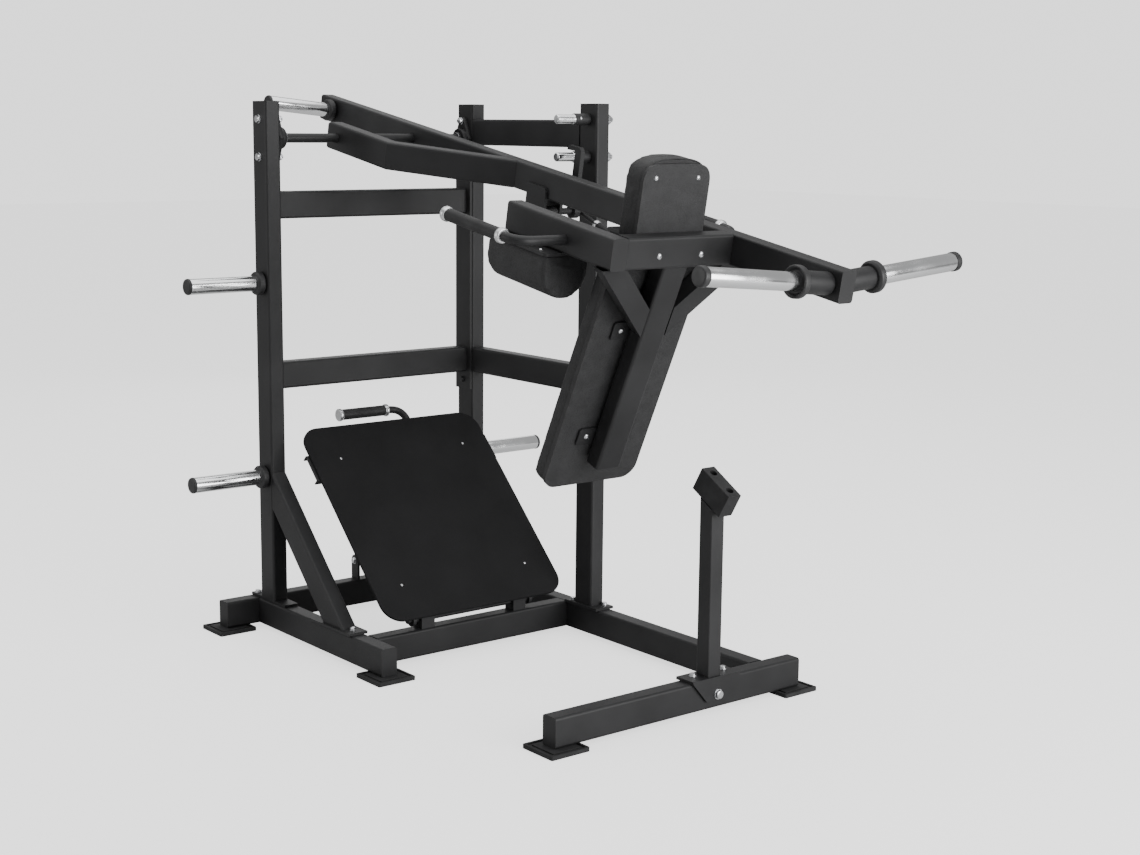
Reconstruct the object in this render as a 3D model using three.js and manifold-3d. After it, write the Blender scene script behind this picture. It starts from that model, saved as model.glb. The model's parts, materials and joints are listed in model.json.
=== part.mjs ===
// Plate-loaded pendulum leg press: a floor frame with three uprights, a swing arm that carries
// the shoulder, back and head pads, a catch that parks the arm, and a tilting foot plate.
// Millimetres, +Z up. The layout is drawn with x = 0 on the rear face of the rear base tube,
// y = 0 on the outer face of the left base rail and z = 0 on the floor; the finished group is
// moved at the end so that its origin is the centre of its bounding box, on the floor.

import * as THREE from 'three';
import { mergeVertices } from 'three/addons/utils/BufferGeometryUtils.js';
import Module from 'manifold-3d';

const wasm = await Module();
wasm.setup();

// ---------------------------------------------------------------- driving dimensions
const GAP = 0.3;
const WALL = 3;
const CORNER = 8;
const FOOT = { side: 128, height: 11.7, inset: 20 };
const BASE = { width: 55, height: 85, underside: 12 };
const POST = { depth: 85, width: 52, top: 1689 };
const ARM = { width: 52, height: 85 };

const RAIL = { left: 27.5, right: 809.5, leftEnd: 788, rightEnd: 1523 };
const MIDDLE = (RAIL.left + RAIL.right) / 2;
const REAR_STUB = 114;
const FRONT_CROSS_X = 654.5;
const END_TUBE = { x: 1550.5, from: 29, to: 934 };
const REAR_POST_X = 109.5;
const FRONT_POST_X = 761.5;
const FLANGE = 8;
const CROSSBAR = { x: 102.5, upper: 1368.5, lower: 830.5 };
const SIDE_BAR = { upper: 1597, lower: 830.5 };
const STORAGE = { upper: 1126, lower: 508, length: 262 };

const PIVOT = { x: REAR_POST_X, z: 1576, shaft: 15 };
const ARM_TILT = THREE.MathUtils.degToRad(10.3);
const MAIN_ARM = { y: 596, rear: -587, front: 1943.5 };
const BENT_ARM = { y: 308, rear: -58 };
const LEFT_BEAM = { y: 179.5, rear: 1096, front: 1546 };
const HANGER = { u: 1510, y: 388, width: 85, depth: 52, length: 625 };
const HANGER_TILT = THREE.MathUtils.degToRad(14.4);
const LOAD_HORN = { u: 1899, length: 448, right: 434, rise: THREE.MathUtils.degToRad(5) };
const REAR_HORN = { u: -505, length: 262, rise: THREE.MathUtils.degToRad(5.5) };

const CATCH = { u: 722.8, v: -83, y: 686, thickness: 15, release: THREE.MathUtils.degToRad(10) };
const CATCH_PIN = { radius: 14, socket: 18, depth: 58, tip: 658, upper: 1641, lower: 1527 };

const STOP = { x: 1554, y: 594, block: [125, 48, 73], centre: [1570, 631] };
const STOP_TILT = THREE.MathUtils.degToRad(30.5);

const PLATE = { x: FRONT_CROSS_X, z: 125, width: 677, length: 732.6, lip: 22.9, face: 50.8 };
const PLATE_TILT = THREE.MathUtils.degToRad(44.67);
const PROP = { x: 27.5, z: 160, reach: 560, pin: 7 };

// ---------------------------------------------------------------- finishes
const finish = (color, roughness, metalness) =>
  new THREE.MeshStandardMaterial({ color, roughness, metalness });
const BLACK_COAT = finish(0x2b2b2c, 0.55, 0.3);
const CHROME = finish(0xd8d9da, 0.15, 1);
const RUBBER = finish(0x1c1c1d, 0.85, 0);
const LEATHER = finish(0x262627, 0.6, 0);
const CAST_BLACK = finish(0x303031, 0.6, 0.4);

// ---------------------------------------------------------------- groups
const machine = new THREE.Group();
const armGroup = new THREE.Group();
armGroup.position.set(PIVOT.x, 0, PIVOT.z);
armGroup.rotation.y = ARM_TILT;
machine.add(armGroup);
const plateGroup = new THREE.Group();
plateGroup.position.set(PLATE.x, 0, PLATE.z);
plateGroup.rotation.y = PLATE_TILT;
machine.add(plateGroup);

// ---------------------------------------------------------------- solids
const X = new THREE.Vector3(1, 0, 0);
const Y = new THREE.Vector3(0, 1, 0);
const Z = new THREE.Vector3(0, 0, 1);
const at = (x, y, z) => new THREE.Vector3(x, y, z);

// A closed geometry as a solid that can be joined and cut.
function solid(geometry) {
  geometry.deleteAttribute('normal');
  geometry.deleteAttribute('uv');
  const merged = mergeVertices(geometry, 1e-4);
  return new wasm.Manifold(new wasm.Mesh({
    numProp: 3,
    vertProperties: merged.attributes.position.array,
    triVerts: new Uint32Array(merged.index.array),
  }));
}

// The geometry of a finished solid.
function geometryOf(body) {
  const mesh = body.getMesh();
  const geometry = new THREE.BufferGeometry();
  geometry.setAttribute('position', new THREE.BufferAttribute(mesh.vertProperties, 3));
  geometry.setIndex(new THREE.BufferAttribute(mesh.triVerts, 1));
  geometry.computeVertexNormals();
  return geometry;
}

function addPiece(name, body, material, parent = machine) {
  const mesh = new THREE.Mesh(geometryOf(body), material);
  mesh.name = name;
  parent.add(mesh);
}

const join = (first, ...rest) => rest.reduce((sum, piece) => sum.add(piece), first);
const cut = (first, ...rest) => rest.reduce((sum, piece) => sum.subtract(piece), first);

// Turns local z onto `along` and local y onto `up`, then moves the origin to `start`.
function frameAt(start, along, up) {
  const side = new THREE.Vector3().crossVectors(up, along);
  const matrix = new THREE.Matrix4().makeBasis(side, up, along);
  return matrix.setPosition(start);
}

// A rectangle with rounded corners, centred on the origin.
function roundedRectangle(width, height, radius) {
  const x = width / 2;
  const y = height / 2;
  const shape = new THREE.Shape();
  shape.moveTo(x, -y + radius);
  shape.absarc(x - radius, y - radius, radius, 0, Math.PI / 2);
  shape.absarc(-x + radius, y - radius, radius, Math.PI / 2, Math.PI);
  shape.absarc(-x + radius, -y + radius, radius, Math.PI, Math.PI * 1.5);
  shape.absarc(x - radius, -y + radius, radius, Math.PI * 1.5, Math.PI * 2);
  return shape;
}

// A shape drawn in local x and y, extruded from z = from to z = to, then placed.
function extrude(shape, from, to, matrix, curveSegments = 4) {
  const geometry = new THREE.ExtrudeGeometry(shape, { depth: to - from, bevelEnabled: false, curveSegments });
  geometry.translate(0, 0, from);
  geometry.applyMatrix4(matrix);
  return solid(geometry);
}

function block(low, high) {
  const size = new THREE.Vector3().subVectors(high, low);
  const geometry = new THREE.BoxGeometry(size.x, size.y, size.z);
  geometry.translate((low.x + high.x) / 2, (low.y + high.y) / 2, (low.z + high.z) / 2);
  return solid(geometry);
}

// A round bar from `start` along `along`.
function bar(start, along, radius, length, sides = 20) {
  const geometry = new THREE.CylinderGeometry(radius, radius, length, sides);
  geometry.translate(0, length / 2, 0);
  const up = Math.abs(along.y) > 0.9 ? Z : Y;
  geometry.rotateX(Math.PI / 2);
  geometry.applyMatrix4(frameAt(start, along, perpendicular(up, along)));
  return solid(geometry);
}

function perpendicular(up, along) {
  return up.clone().addScaledVector(along, -up.dot(along)).normalize();
}

// A solid of revolution: [radius, distance] pairs along `along`, closed on the axis.
function turned(profile, start, along, sides = 24) {
  const points = profile.map(([radius, distance]) => new THREE.Vector2(radius, distance));
  const geometry = new THREE.LatheGeometry(points, sides);
  geometry.rotateX(Math.PI / 2);
  const up = Math.abs(along.y) > 0.9 ? Z : Y;
  geometry.applyMatrix4(frameAt(start, along, perpendicular(up, along)));
  const body = solid(geometry);
  return body;
}

// A plate in the x-z plane (any outline of [x, z] points), from y = low to y = high.
function sidePlate(shape, low, high, matrix = new THREE.Matrix4()) {
  const flat = frameAt(at(0, high, 0), at(0, -1, 0), Z);
  return extrude(shape, 0, high - low, matrix.clone().multiply(flat));
}

function outline(points) {
  return new THREE.Shape(points.map(([x, y]) => new THREE.Vector2(x, y)));
}

// Everything on the side of the plane that its normal points to is cut away.
function trim(body, point, normal) {
  const half = 3000;
  const geometry = new THREE.BoxGeometry(2 * half, 2 * half, 2 * half);
  geometry.translate(0, 0, half);
  const up = Math.abs(normal.y) > 0.9 ? Z : Y;
  geometry.applyMatrix4(frameAt(point, normal, perpendicular(up, normal)));
  return body.subtract(solid(geometry));
}

// A hollow rectangular tube. `up` is the direction of its height; ends are 'cap' or 'open'.
function tube({ from, to, up, width, height, ends, wall = WALL, corner = CORNER }) {
  const along = new THREE.Vector3().subVectors(to, from);
  const length = along.length();
  const matrix = frameAt(from, along.normalize(), up);
  const outside = extrude(roundedRectangle(width, height, corner), 0, length, matrix);
  const start = ends[0] === 'cap' ? wall : -1;
  const end = ends[1] === 'cap' ? length - wall : length + 1;
  const bore = roundedRectangle(width - 2 * wall, height - 2 * wall, corner - wall);
  return cut(outside, extrude(bore, start, end, matrix, 2));
}

// ---------------------------------------------------------------- floor frame
const BASE_Z = BASE.underside + BASE.height / 2;
const BASE_TOP = BASE.underside + BASE.height;
const baseTube = (from, to, ends) =>
  tube({ from, to, up: Z, width: BASE.width, height: BASE.height, ends });

// Two ears and a pin that carry the foot of the prop.
function propClevis() {
  const ear = new THREE.Shape();
  ear.moveTo(PROP.x - 20, BASE_TOP - 2);
  ear.lineTo(PROP.x + 20, BASE_TOP - 2);
  ear.lineTo(PROP.x + 20, PROP.z);
  ear.absarc(PROP.x, PROP.z, 20, 0, Math.PI);
  const ears = [-1, 1].map((side) => sidePlate(ear, MIDDLE + side * 31 - 4, MIDDLE + side * 31 + 4));
  const pin = bar(at(PROP.x, MIDDLE - 40, PROP.z), Y, PROP.pin, 80);
  return join(ears[0], ears[1], pin);
}

function buildRearBaseTube() {
  const ends = [RAIL.left - BASE.width / 2 - REAR_STUB, RAIL.right + BASE.width / 2 + REAR_STUB];
  const body = baseTube(at(BASE.width / 2, ends[0], BASE_Z), at(BASE.width / 2, ends[1], BASE_Z), ['cap', 'cap']);
  const vent = bar(at(BASE.width / 2, RAIL.left, BASE_Z), X, 10, BASE.width, 10);
  addPiece('rear_base_tube', join(cut(body, vent), propClevis()), BLACK_COAT);
}

function buildRails() {
  const start = BASE.width + GAP;
  const left = baseTube(at(start, RAIL.left, BASE_Z), at(RAIL.leftEnd, RAIL.left, BASE_Z), ['open', 'cap']);
  addPiece('left_base_rail', left, BLACK_COAT);
  const end = RAIL.rightEnd - GAP;
  const right = baseTube(at(start, RAIL.right, BASE_Z), at(end, RAIL.right, BASE_Z), ['open', 'open']);
  addPiece('right_base_rail', right, BLACK_COAT);
}

// The tube under the foot plate's lower edge, with the two blocks that carry its hinge shaft.
function buildFrontCrossTube() {
  const y = [RAIL.left + BASE.width / 2 + GAP, RAIL.right - BASE.width / 2 - GAP];
  const body = baseTube(at(FRONT_CROSS_X, y[0], BASE_Z), at(FRONT_CROSS_X, y[1], BASE_Z), ['open', 'open']);
  const blocks = [-1, 1].map((side) => {
    const centre = MIDDLE + side * 175.5;
    return block(at(PLATE.x - 22, centre - 24, BASE_TOP - 2), at(PLATE.x + 22, centre + 24, PLATE.z + 22));
  });
  const bore = bar(at(PLATE.x, 150, PLATE.z), Y, 10.6, 540);
  addPiece('front_cross_tube', join(body, ...blocks.map((piece) => cut(piece, bore))), BLACK_COAT);
}

function buildEndBaseTube() {
  const body = baseTube(at(END_TUBE.x, END_TUBE.from, BASE_Z), at(END_TUBE.x, END_TUBE.to, BASE_Z), ['cap', 'cap']);
  const vent = bar(at(END_TUBE.x, RAIL.right, BASE_Z), at(-1, 0, 0), 10, BASE.width, 10);
  addPiece('end_base_tube', cut(body, vent), BLACK_COAT);
}

// Square rubber trays, each with a smaller steel plate sunk in it, under the base tubes' ends.
function buildFeet() {
  const rearEnd = RAIL.left - BASE.width / 2 - REAR_STUB + FOOT.inset;
  const feet = {
    rear_left_foot: [BASE.width / 2, rearEnd],
    rear_right_foot: [BASE.width / 2, 2 * MIDDLE - rearEnd],
    front_left_foot: [RAIL.leftEnd - FOOT.inset, RAIL.left],
    end_left_foot: [END_TUBE.x, END_TUBE.from + FOOT.inset + 4],
    end_right_foot: [END_TUBE.x, END_TUBE.to - FOOT.inset - 4],
  };
  for (const [name, [x, y]] of Object.entries(feet)) {
    const level = frameAt(at(x, y, 0), Z, Y);
    const square = (inset, from, to) =>
      extrude(roundedRectangle(FOOT.side - inset, FOOT.side - inset, 5), from, to, level, 2);
    const tray = cut(square(0, 0, FOOT.height), square(16, 8, FOOT.height + 1));
    addPiece(name, join(tray, square(34, 7, FOOT.height)), RUBBER);
  }
}

// An upright stands on a bolted base flange; its bore runs down through the flange.
function upright(x, y, flangeX, flangeY) {
  const foot = BASE_TOP + GAP;
  const plate = block(at(flangeX[0], flangeY[0], foot), at(flangeX[1], flangeY[1], foot + FLANGE));
  const matrix = frameAt(at(x, y, foot), Z, X);
  const outside = extrude(roundedRectangle(POST.width, POST.depth, CORNER), 0, POST.top - foot, matrix);
  const bore = roundedRectangle(POST.width - 2 * WALL, POST.depth - 2 * WALL, CORNER - WALL);
  return cut(join(outside, plate), extrude(bore, -1, POST.top - foot - WALL, matrix, 2));
}

function buildUprights() {
  const narrow = POST.width / 2 - 2;
  const rear = [2, 2 * REAR_POST_X - 2];
  addPiece('left_rear_upright',
    upright(REAR_POST_X, RAIL.left, rear, [RAIL.left - narrow, RAIL.left + narrow]), BLACK_COAT);
  addPiece('right_rear_upright',
    upright(REAR_POST_X, RAIL.right, rear, [RAIL.right - narrow, RAIL.right + narrow]), BLACK_COAT);
  const front = [FRONT_POST_X - 80, FRONT_POST_X + 80];
  addPiece('right_front_upright',
    upright(FRONT_POST_X, RAIL.right, front, [RAIL.right - 36, RAIL.right + 36]), BLACK_COAT);
}

function buildCrossbars() {
  const plateThickness = 8;
  const face = RAIL.right - POST.width / 2 - GAP;
  const start = RAIL.left + POST.width / 2 + GAP;
  const end = face - plateThickness - GAP;
  for (const name of ['upper', 'lower']) {
    const z = CROSSBAR[name];
    const body = tube({ from: at(CROSSBAR.x, start, z), to: at(CROSSBAR.x, end, z), up: Z,
      width: BASE.width, height: BASE.height, ends: ['open', 'open'] });
    addPiece(`${name}_rear_crossbar`, body, BLACK_COAT);
  }
  const plate = block(at(REAR_POST_X - 41, face - plateThickness, 729), at(REAR_POST_X + 41, face, 1464));
  addPiece('crossbar_plate', plate, BLACK_COAT);
  for (const name of ['upper', 'lower']) {
    const z = SIDE_BAR[name];
    const from = at(REAR_POST_X + POST.depth / 2 + GAP, RAIL.right, z);
    const to = at(FRONT_POST_X - POST.depth / 2 - GAP, RAIL.right, z);
    const body = tube({ from, to, up: Z, width: POST.width, height: BASE.height, ends: ['open', 'open'] });
    addPiece(`${name}_side_crossbar`, body, BLACK_COAT);
  }
}

// The 45 degree strut between the left rear upright and the left rail, with its bolted foot.
function buildDiagonalBrace() {
  const sum = 616;
  const wall = REAR_POST_X + POST.depth / 2 + GAP;
  const foot = BASE_TOP + GAP;
  const along = at(1, 0, -1).normalize();
  const up = at(1, 0, 1).normalize();
  const middle = at(sum / 2, RAIL.left, sum / 2);
  const from = middle.clone().addScaledVector(along, -400);
  const to = middle.clone().addScaledVector(along, 500);
  let body = tube({ from, to, up, width: POST.width, height: BASE.height, ends: ['open', 'open'] });
  body = trim(body, at(wall, 0, 0), at(-1, 0, 0));
  body = trim(body, at(0, 0, foot + 2), at(0, 0, -1));
  const plate = block(at(388, RAIL.left - 34, foot), at(616, RAIL.left + 34, foot + FLANGE));
  const vent = bar(at(500, RAIL.left, foot - 2), Z, 8, FLANGE + 4, 10);
  addPiece('diagonal_brace', cut(join(body, plate), vent), BLACK_COAT);
}

// The post and rubber block that the arm comes down on, on a saddle over the end tube.
function buildStop() {
  const slope = at(Math.cos(STOP_TILT), 0, -Math.sin(STOP_TILT));
  const normal = at(Math.sin(STOP_TILT), 0, Math.cos(STOP_TILT));
  const centre = at(STOP.centre[0], STOP.y, STOP.centre[1]);
  const [length, width, depth] = STOP.block;
  const matrix = frameAt(centre, slope, normal);
  const body = extrude(roundedRectangle(width, depth, 3), -length / 2, length / 2, matrix, 2);
  const recess = (side) => bar(centre.clone().addScaledVector(slope, side * 38)
    .addScaledVector(normal, depth / 2 - 14), normal, 11, 30, 16);
  addPiece('stop_block', cut(body, recess(-1), recess(1)), RUBBER);

  const foot = BASE_TOP + GAP;
  const face = END_TUBE.x + BASE.width / 2 + GAP;
  let post = tube({ from: at(STOP.x, STOP.y, foot), to: at(STOP.x, STOP.y, 700), up: X,
    width: 50, height: 50, ends: ['open', 'open'], corner: 6 });
  post = trim(post, centre.clone().addScaledVector(normal, -depth / 2 - GAP), normal);
  const top = cut(block(at(1515, 508, foot), at(face + 8, 688, foot + FLANGE)),
    bar(at(STOP.x, STOP.y, foot - 2), Z, 14, FLANGE + 4, 12));
  const skirt = outline([[508, foot + 2], [562, 37], [634, 37], [688, foot + 2]]);
  const front = extrude(skirt, 0, 8, frameAt(at(face, 0, 0), X, Z));
  addPiece('stop_post', join(post, top, front), BLACK_COAT);
}

// A weight horn: a flanged collar against the frame, then the sleeve.
function horn(start, along, length) {
  const profile = [[0, GAP], [37, GAP], [37, 28], [24.5, 28], [24.5, length - 3], [21.5, length], [0, length]];
  return turned(profile, start, along);
}

// A load horn stands off on a stub with a wide stop ring and ends in a cap.
function loadHorn(start, along, length) {
  const profile = [[0, GAP], [30, GAP], [30, 98], [43, 98], [43, 122], [24.5, 122], [24.5, length - 22],
    [26.5, length - 22], [26.5, length], [0, length]];
  return turned(profile, start, along);
}

function buildStorageHorns() {
  const left = RAIL.left - POST.width / 2;
  const right = RAIL.right + POST.width / 2;
  const outwards = at(0, -1, 0);
  addPiece('upper_storage_horn', horn(at(REAR_POST_X, left, STORAGE.upper), outwards, STORAGE.length), CHROME);
  addPiece('lower_storage_horn', horn(at(REAR_POST_X, left, STORAGE.lower), outwards, STORAGE.length), CHROME);
  addPiece('right_storage_horn', horn(at(REAR_POST_X, right, STORAGE.lower), Y, STORAGE.length), CHROME);
}

// A two-bolt flange bearing: an oval flange with a round housing, bored for the pivot shaft.
function flangeBearing(y, side) {
  const shape = new THREE.Shape();
  shape.moveTo(40, 0);
  shape.absarc(0, 0, 40, 0, Math.PI / 4);
  shape.absarc(0, 58, 14, Math.PI / 6, Math.PI * 5 / 6);
  shape.absarc(0, 0, 40, Math.PI * 3 / 4, Math.PI * 5 / 4);
  shape.absarc(0, -58, 14, Math.PI * 7 / 6, Math.PI * 11 / 6);
  shape.absarc(0, 0, 40, Math.PI * 7 / 4, Math.PI * 2);
  const along = at(0, side, 0);
  const place = frameAt(at(PIVOT.x, y + side * GAP, PIVOT.z), along, Z);
  const flange = extrude(shape, 0, 15, place, 5);
  const housing = turned([[0, 10], [35, 10], [35, 26], [31, 30], [22, 30], [22, 38], [0, 38]],
    at(PIVOT.x, y + side * GAP, PIVOT.z), along);
  const bore = bar(at(PIVOT.x, y - side * 10, PIVOT.z), along, PIVOT.shaft + 0.5, 60, 24);
  return cut(join(flange, housing), bore);
}

function buildBearings() {
  addPiece('left_flange_bearing', flangeBearing(RAIL.left + POST.width / 2, 1), CAST_BLACK);
  addPiece('right_flange_bearing', flangeBearing(RAIL.right - POST.width / 2, -1), CAST_BLACK);
}

// Chromed pins in sockets on the right front upright, where the catch hooks on.
function buildCatchPins() {
  const face = RAIL.right - POST.width / 2;
  const reach = face - CATCH_PIN.tip;
  const profile = [[0, GAP], [CATCH_PIN.socket, GAP], [CATCH_PIN.socket, CATCH_PIN.depth], [CATCH_PIN.radius, CATCH_PIN.depth],
    [CATCH_PIN.radius, reach - 2], [CATCH_PIN.radius - 2, reach], [0, reach]];
  for (const name of ['upper', 'lower']) {
    const start = at(FRONT_POST_X, face, CATCH_PIN[name]);
    addPiece(`${name}_catch_pin`, turned(profile, start, at(0, -1, 0)), CHROME);
  }
}

// ---------------------------------------------------------------- swing arm
// In the arm's own frame x runs along the arm from the pivot and z stands square to it.
const HALF = ARM.height / 2;
const armTube = (from, to, ends) =>
  tube({ from, to, up: Z, width: ARM.width, height: ARM.height, ends });
const shaftHole = () => bar(at(0, 0, 0), Y, PIVOT.shaft + 0.3, 900, 24);

function buildMainArm() {
  const body = armTube(at(MAIN_ARM.rear, MAIN_ARM.y, 0), at(MAIN_ARM.front, MAIN_ARM.y, 0), ['cap', 'cap']);
  addPiece('main_arm', cut(body, shaftHole()), BLACK_COAT, armGroup);
}

// The second arm's plan: straight beside the main arm, then 45 degrees across to its side.
function bentArmPlan(half, rear) {
  const bend = 278;
  const miss = half * Math.tan(Math.PI / 8);
  const run = 400;
  const low = BENT_ARM.y - half;
  const high = BENT_ARM.y + half;
  return outline([[rear, low], [bend + miss, low], [bend + miss + run, low + run],
    [bend - miss + run, high + run], [bend - miss, high], [rear, high]]);
}

function buildBentArm() {
  const bevel = { bevelEnabled: true, bevelThickness: CORNER, bevelSize: CORNER, bevelOffset: -CORNER };
  const skin = new THREE.ExtrudeGeometry(bentArmPlan(ARM.width / 2, BENT_ARM.rear),
    { depth: ARM.height - 2 * CORNER, bevelSegments: 3, ...bevel });
  skin.translate(0, 0, CORNER - HALF);
  const plan = bentArmPlan(ARM.width / 2 - WALL - 1, BENT_ARM.rear + WALL + 1);
  const bore = extrude(plan, WALL - HALF, HALF - WALL, new THREE.Matrix4());
  const body = trim(cut(solid(skin), bore), at(0, MAIN_ARM.y - ARM.width / 2 - GAP, 0), Y);
  addPiece('bent_arm', cut(body, shaftHole()), BLACK_COAT, armGroup);
}

function buildPivotShaft() {
  const start = RAIL.left + POST.width / 2 + 3;
  const end = RAIL.right - POST.width / 2 - 3;
  addPiece('pivot_shaft', bar(at(0, start, 0), Y, PIVOT.shaft, end - start, 24), BLACK_COAT, armGroup);
}

function buildLeftBeam() {
  const body = armTube(at(LEFT_BEAM.rear, LEFT_BEAM.y, 0), at(LEFT_BEAM.front, LEFT_BEAM.y, 0), ['cap', 'cap']);
  const vent = bar(at(LEFT_BEAM.front - ARM.width / 2, LEFT_BEAM.y, 0), Y, 10, ARM.width, 10);
  addPiece('left_beam', cut(body, vent), BLACK_COAT, armGroup);
}

function buildCrossBeam() {
  const x = LEFT_BEAM.front - ARM.width / 2;
  const from = at(x, LEFT_BEAM.y + ARM.width / 2 + GAP, 0);
  const to = at(x, MAIN_ARM.y - ARM.width / 2 - GAP, 0);
  addPiece('cross_beam', armTube(from, to, ['open', 'open']), BLACK_COAT, armGroup);
}

// The hanger leans back under the cross beam. In its own frame x is its face normal towards the
// loading end, y is across and z runs up along it, from its lower end at -length.
const hangerFrame = new THREE.Matrix4().makeRotationY(HANGER_TILT)
  .setPosition(at(HANGER.u, HANGER.y, -HALF));
const PAD_BRACKET = { thickness: 6, width: 196, height: 52, rows: [-210, -545] };

function buildHanger() {
  const matrix = hangerFrame.clone().multiply(frameAt(at(0, 0, -HANGER.length), Z, X));
  const section = roundedRectangle(HANGER.width, HANGER.depth, CORNER);
  const bore = roundedRectangle(HANGER.width - 2 * WALL, HANGER.depth - 2 * WALL, CORNER - WALL);
  const hollow = cut(extrude(section, 0, HANGER.length + 40, matrix),
    extrude(bore, WALL, HANGER.length + 41, matrix, 2));
  const top = trim(hollow, at(0, 0, -HALF - GAP), Z);
  const back = -HANGER.depth / 2;
  const brackets = PAD_BRACKET.rows.map((row) => {
    const place = hangerFrame.clone().multiply(frameAt(at(back - PAD_BRACKET.thickness, 0, row), X, Z));
    return extrude(roundedRectangle(PAD_BRACKET.width, PAD_BRACKET.height, 8), 0, PAD_BRACKET.thickness + 0.5,
      place, 3);
  });
  addPiece('hanger_tube', join(top, ...brackets), BLACK_COAT, armGroup);
}

// Knee braces run from the hanger's sides up to the underside of the arm beams.
function buildKneeBraces() {
  const depth = 50;
  for (const [name, side] of [['left_knee_brace', -1], ['right_knee_brace', 1]]) {
    const inner = side * (HANGER.width / 2 + GAP);
    const profile = (inset, lift) => {
      const run = 235 + lift;
      const low = -202 + inset * 1.42;
      const high = -118 - inset * 1.42;
      return outline([[inner - side * (inset ? 1 : 0), low], [inner + side * run, low + run],
        [inner + side * run, high + run], [inner - side * (inset ? 1 : 0), high]]);
    };
    const place = hangerFrame.clone().multiply(frameAt(at(-depth / 2, 0, 0), X, Z));
    const inside = hangerFrame.clone().multiply(frameAt(at(-depth / 2 + WALL, 0, 0), X, Z));
    const body = cut(extrude(profile(0, 0), 0, depth, place), extrude(profile(WALL, 20), 0, depth - 2 * WALL, inside));
    addPiece(name, trim(body, at(0, 0, -HALF - GAP), Z), BLACK_COAT, armGroup);
  }
}

// ---------------------------------------------------------------- pads
const PAD = { width: 335, board: 12, cushion: 48, top: -26, bottom: -714, corner: 45 };

// The back pad: a board on the hanger's brackets and a cushion on the board.
function buildBackPad() {
  const back = -HANGER.depth / 2 - PAD_BRACKET.thickness - GAP;
  const height = PAD.top - PAD.bottom;
  const centre = (PAD.top + PAD.bottom) / 2;
  const layer = (name, near, thickness, inset, material) => {
    const place = hangerFrame.clone().multiply(frameAt(at(near - thickness, 0, centre), X, Z));
    const shape = roundedRectangle(PAD.width - inset, height - inset, PAD.corner);
    addPiece(name, extrude(shape, 0, thickness, place, 5), material, armGroup);
  };
  layer('back_pad_board', back, PAD.board, 6, LEATHER);
  layer('back_pad_cushion', back - PAD.board - GAP, PAD.cushion, 0, LEATHER);
}

// The headrest cushion's outline: its top edge is arched, above the board's straight one.
function headrestOutline(half, low, high, corner, arch) {
  const shape = new THREE.Shape();
  shape.moveTo(half, low + 20);
  shape.lineTo(half - arch / 4, high - corner);
  shape.quadraticCurveTo(half - arch / 4, high, half - corner, high + arch * 0.6);
  shape.quadraticCurveTo(0, high + arch * 1.2, corner - half, high + arch * 0.6);
  shape.quadraticCurveTo(arch / 4 - half, high, arch / 4 - half, high - corner);
  shape.lineTo(-half, low + 20);
  shape.quadraticCurveTo(-half, low, 20 - half, low);
  shape.lineTo(half - 20, low);
  shape.quadraticCurveTo(half, low, half, low + 20);
  return shape;
}

function buildHeadrest() {
  const face = LEFT_BEAM.front - ARM.width - GAP;
  const layer = (name, near, thickness, shape, material) => {
    const place = frameAt(at(near - thickness, HANGER.y, 0), X, Z);
    addPiece(name, extrude(shape, 0, thickness, place, 8), material, armGroup);
  };
  layer('headrest_board', face, 10, headrestOutline(116, -34, 219, 48, 2), LEATHER);
  layer('headrest_cushion', face - 10 - GAP, 72, headrestOutline(121, -34, 225, 60, 16), LEATHER);
}

// Shoulder pads hang under the left beam and the main arm on flat plates.
function buildShoulderPads() {
  const rear = 1085;
  const front = 1345;
  const radius = 77;
  const top = -HALF - GAP;
  const thickness = 8;
  for (const [name, y] of [['left', LEFT_BEAM.y], ['right', MAIN_ARM.y]]) {
    const plate = roundedRectangle(front - rear, 2 * radius, 12);
    const place = frameAt(at((rear + front) / 2, y, top - thickness), Z, Y);
    addPiece(`${name}_shoulder_plate`, extrude(plate, 0, thickness, place, 3), BLACK_COAT, armGroup);
    const shape = new THREE.Shape();
    const start = top - thickness - GAP;
    shape.moveTo(radius, start);
    shape.lineTo(-radius, start);
    shape.lineTo(-radius, -91);
    shape.absarc(0, -91, radius, Math.PI, Math.PI * 2);
    const cushion = extrude(shape, rear, front, frameAt(at(0, y, 0), X, Z), 16);
    addPiece(`${name}_shoulder_cushion`, cushion, LEATHER, armGroup);
  }
}

// ---------------------------------------------------------------- handles and horns on the arm
// A bent handle: straight out of `points[0]`, round the corner `points[1]`, on to `points[2]`.
function bentTube(points, bend, radius, steps) {
  const [start, corner, end] = points;
  const first = new THREE.Vector3().subVectors(start, corner).normalize();
  const second = new THREE.Vector3().subVectors(end, corner).normalize();
  const before = corner.clone().addScaledVector(first, bend);
  const after = corner.clone().addScaledVector(second, bend);
  const path = new THREE.CurvePath();
  path.add(new THREE.LineCurve3(start, before));
  path.add(new THREE.QuadraticBezierCurve3(before, corner, after));
  path.add(new THREE.LineCurve3(after, end));
  const section = new THREE.Shape().absarc(0, 0, radius, 0, Math.PI * 2);
  const options = { steps, curveSegments: 6, bevelEnabled: false, extrudePath: path };
  return solid(new THREE.ExtrudeGeometry(section, options));
}

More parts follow.
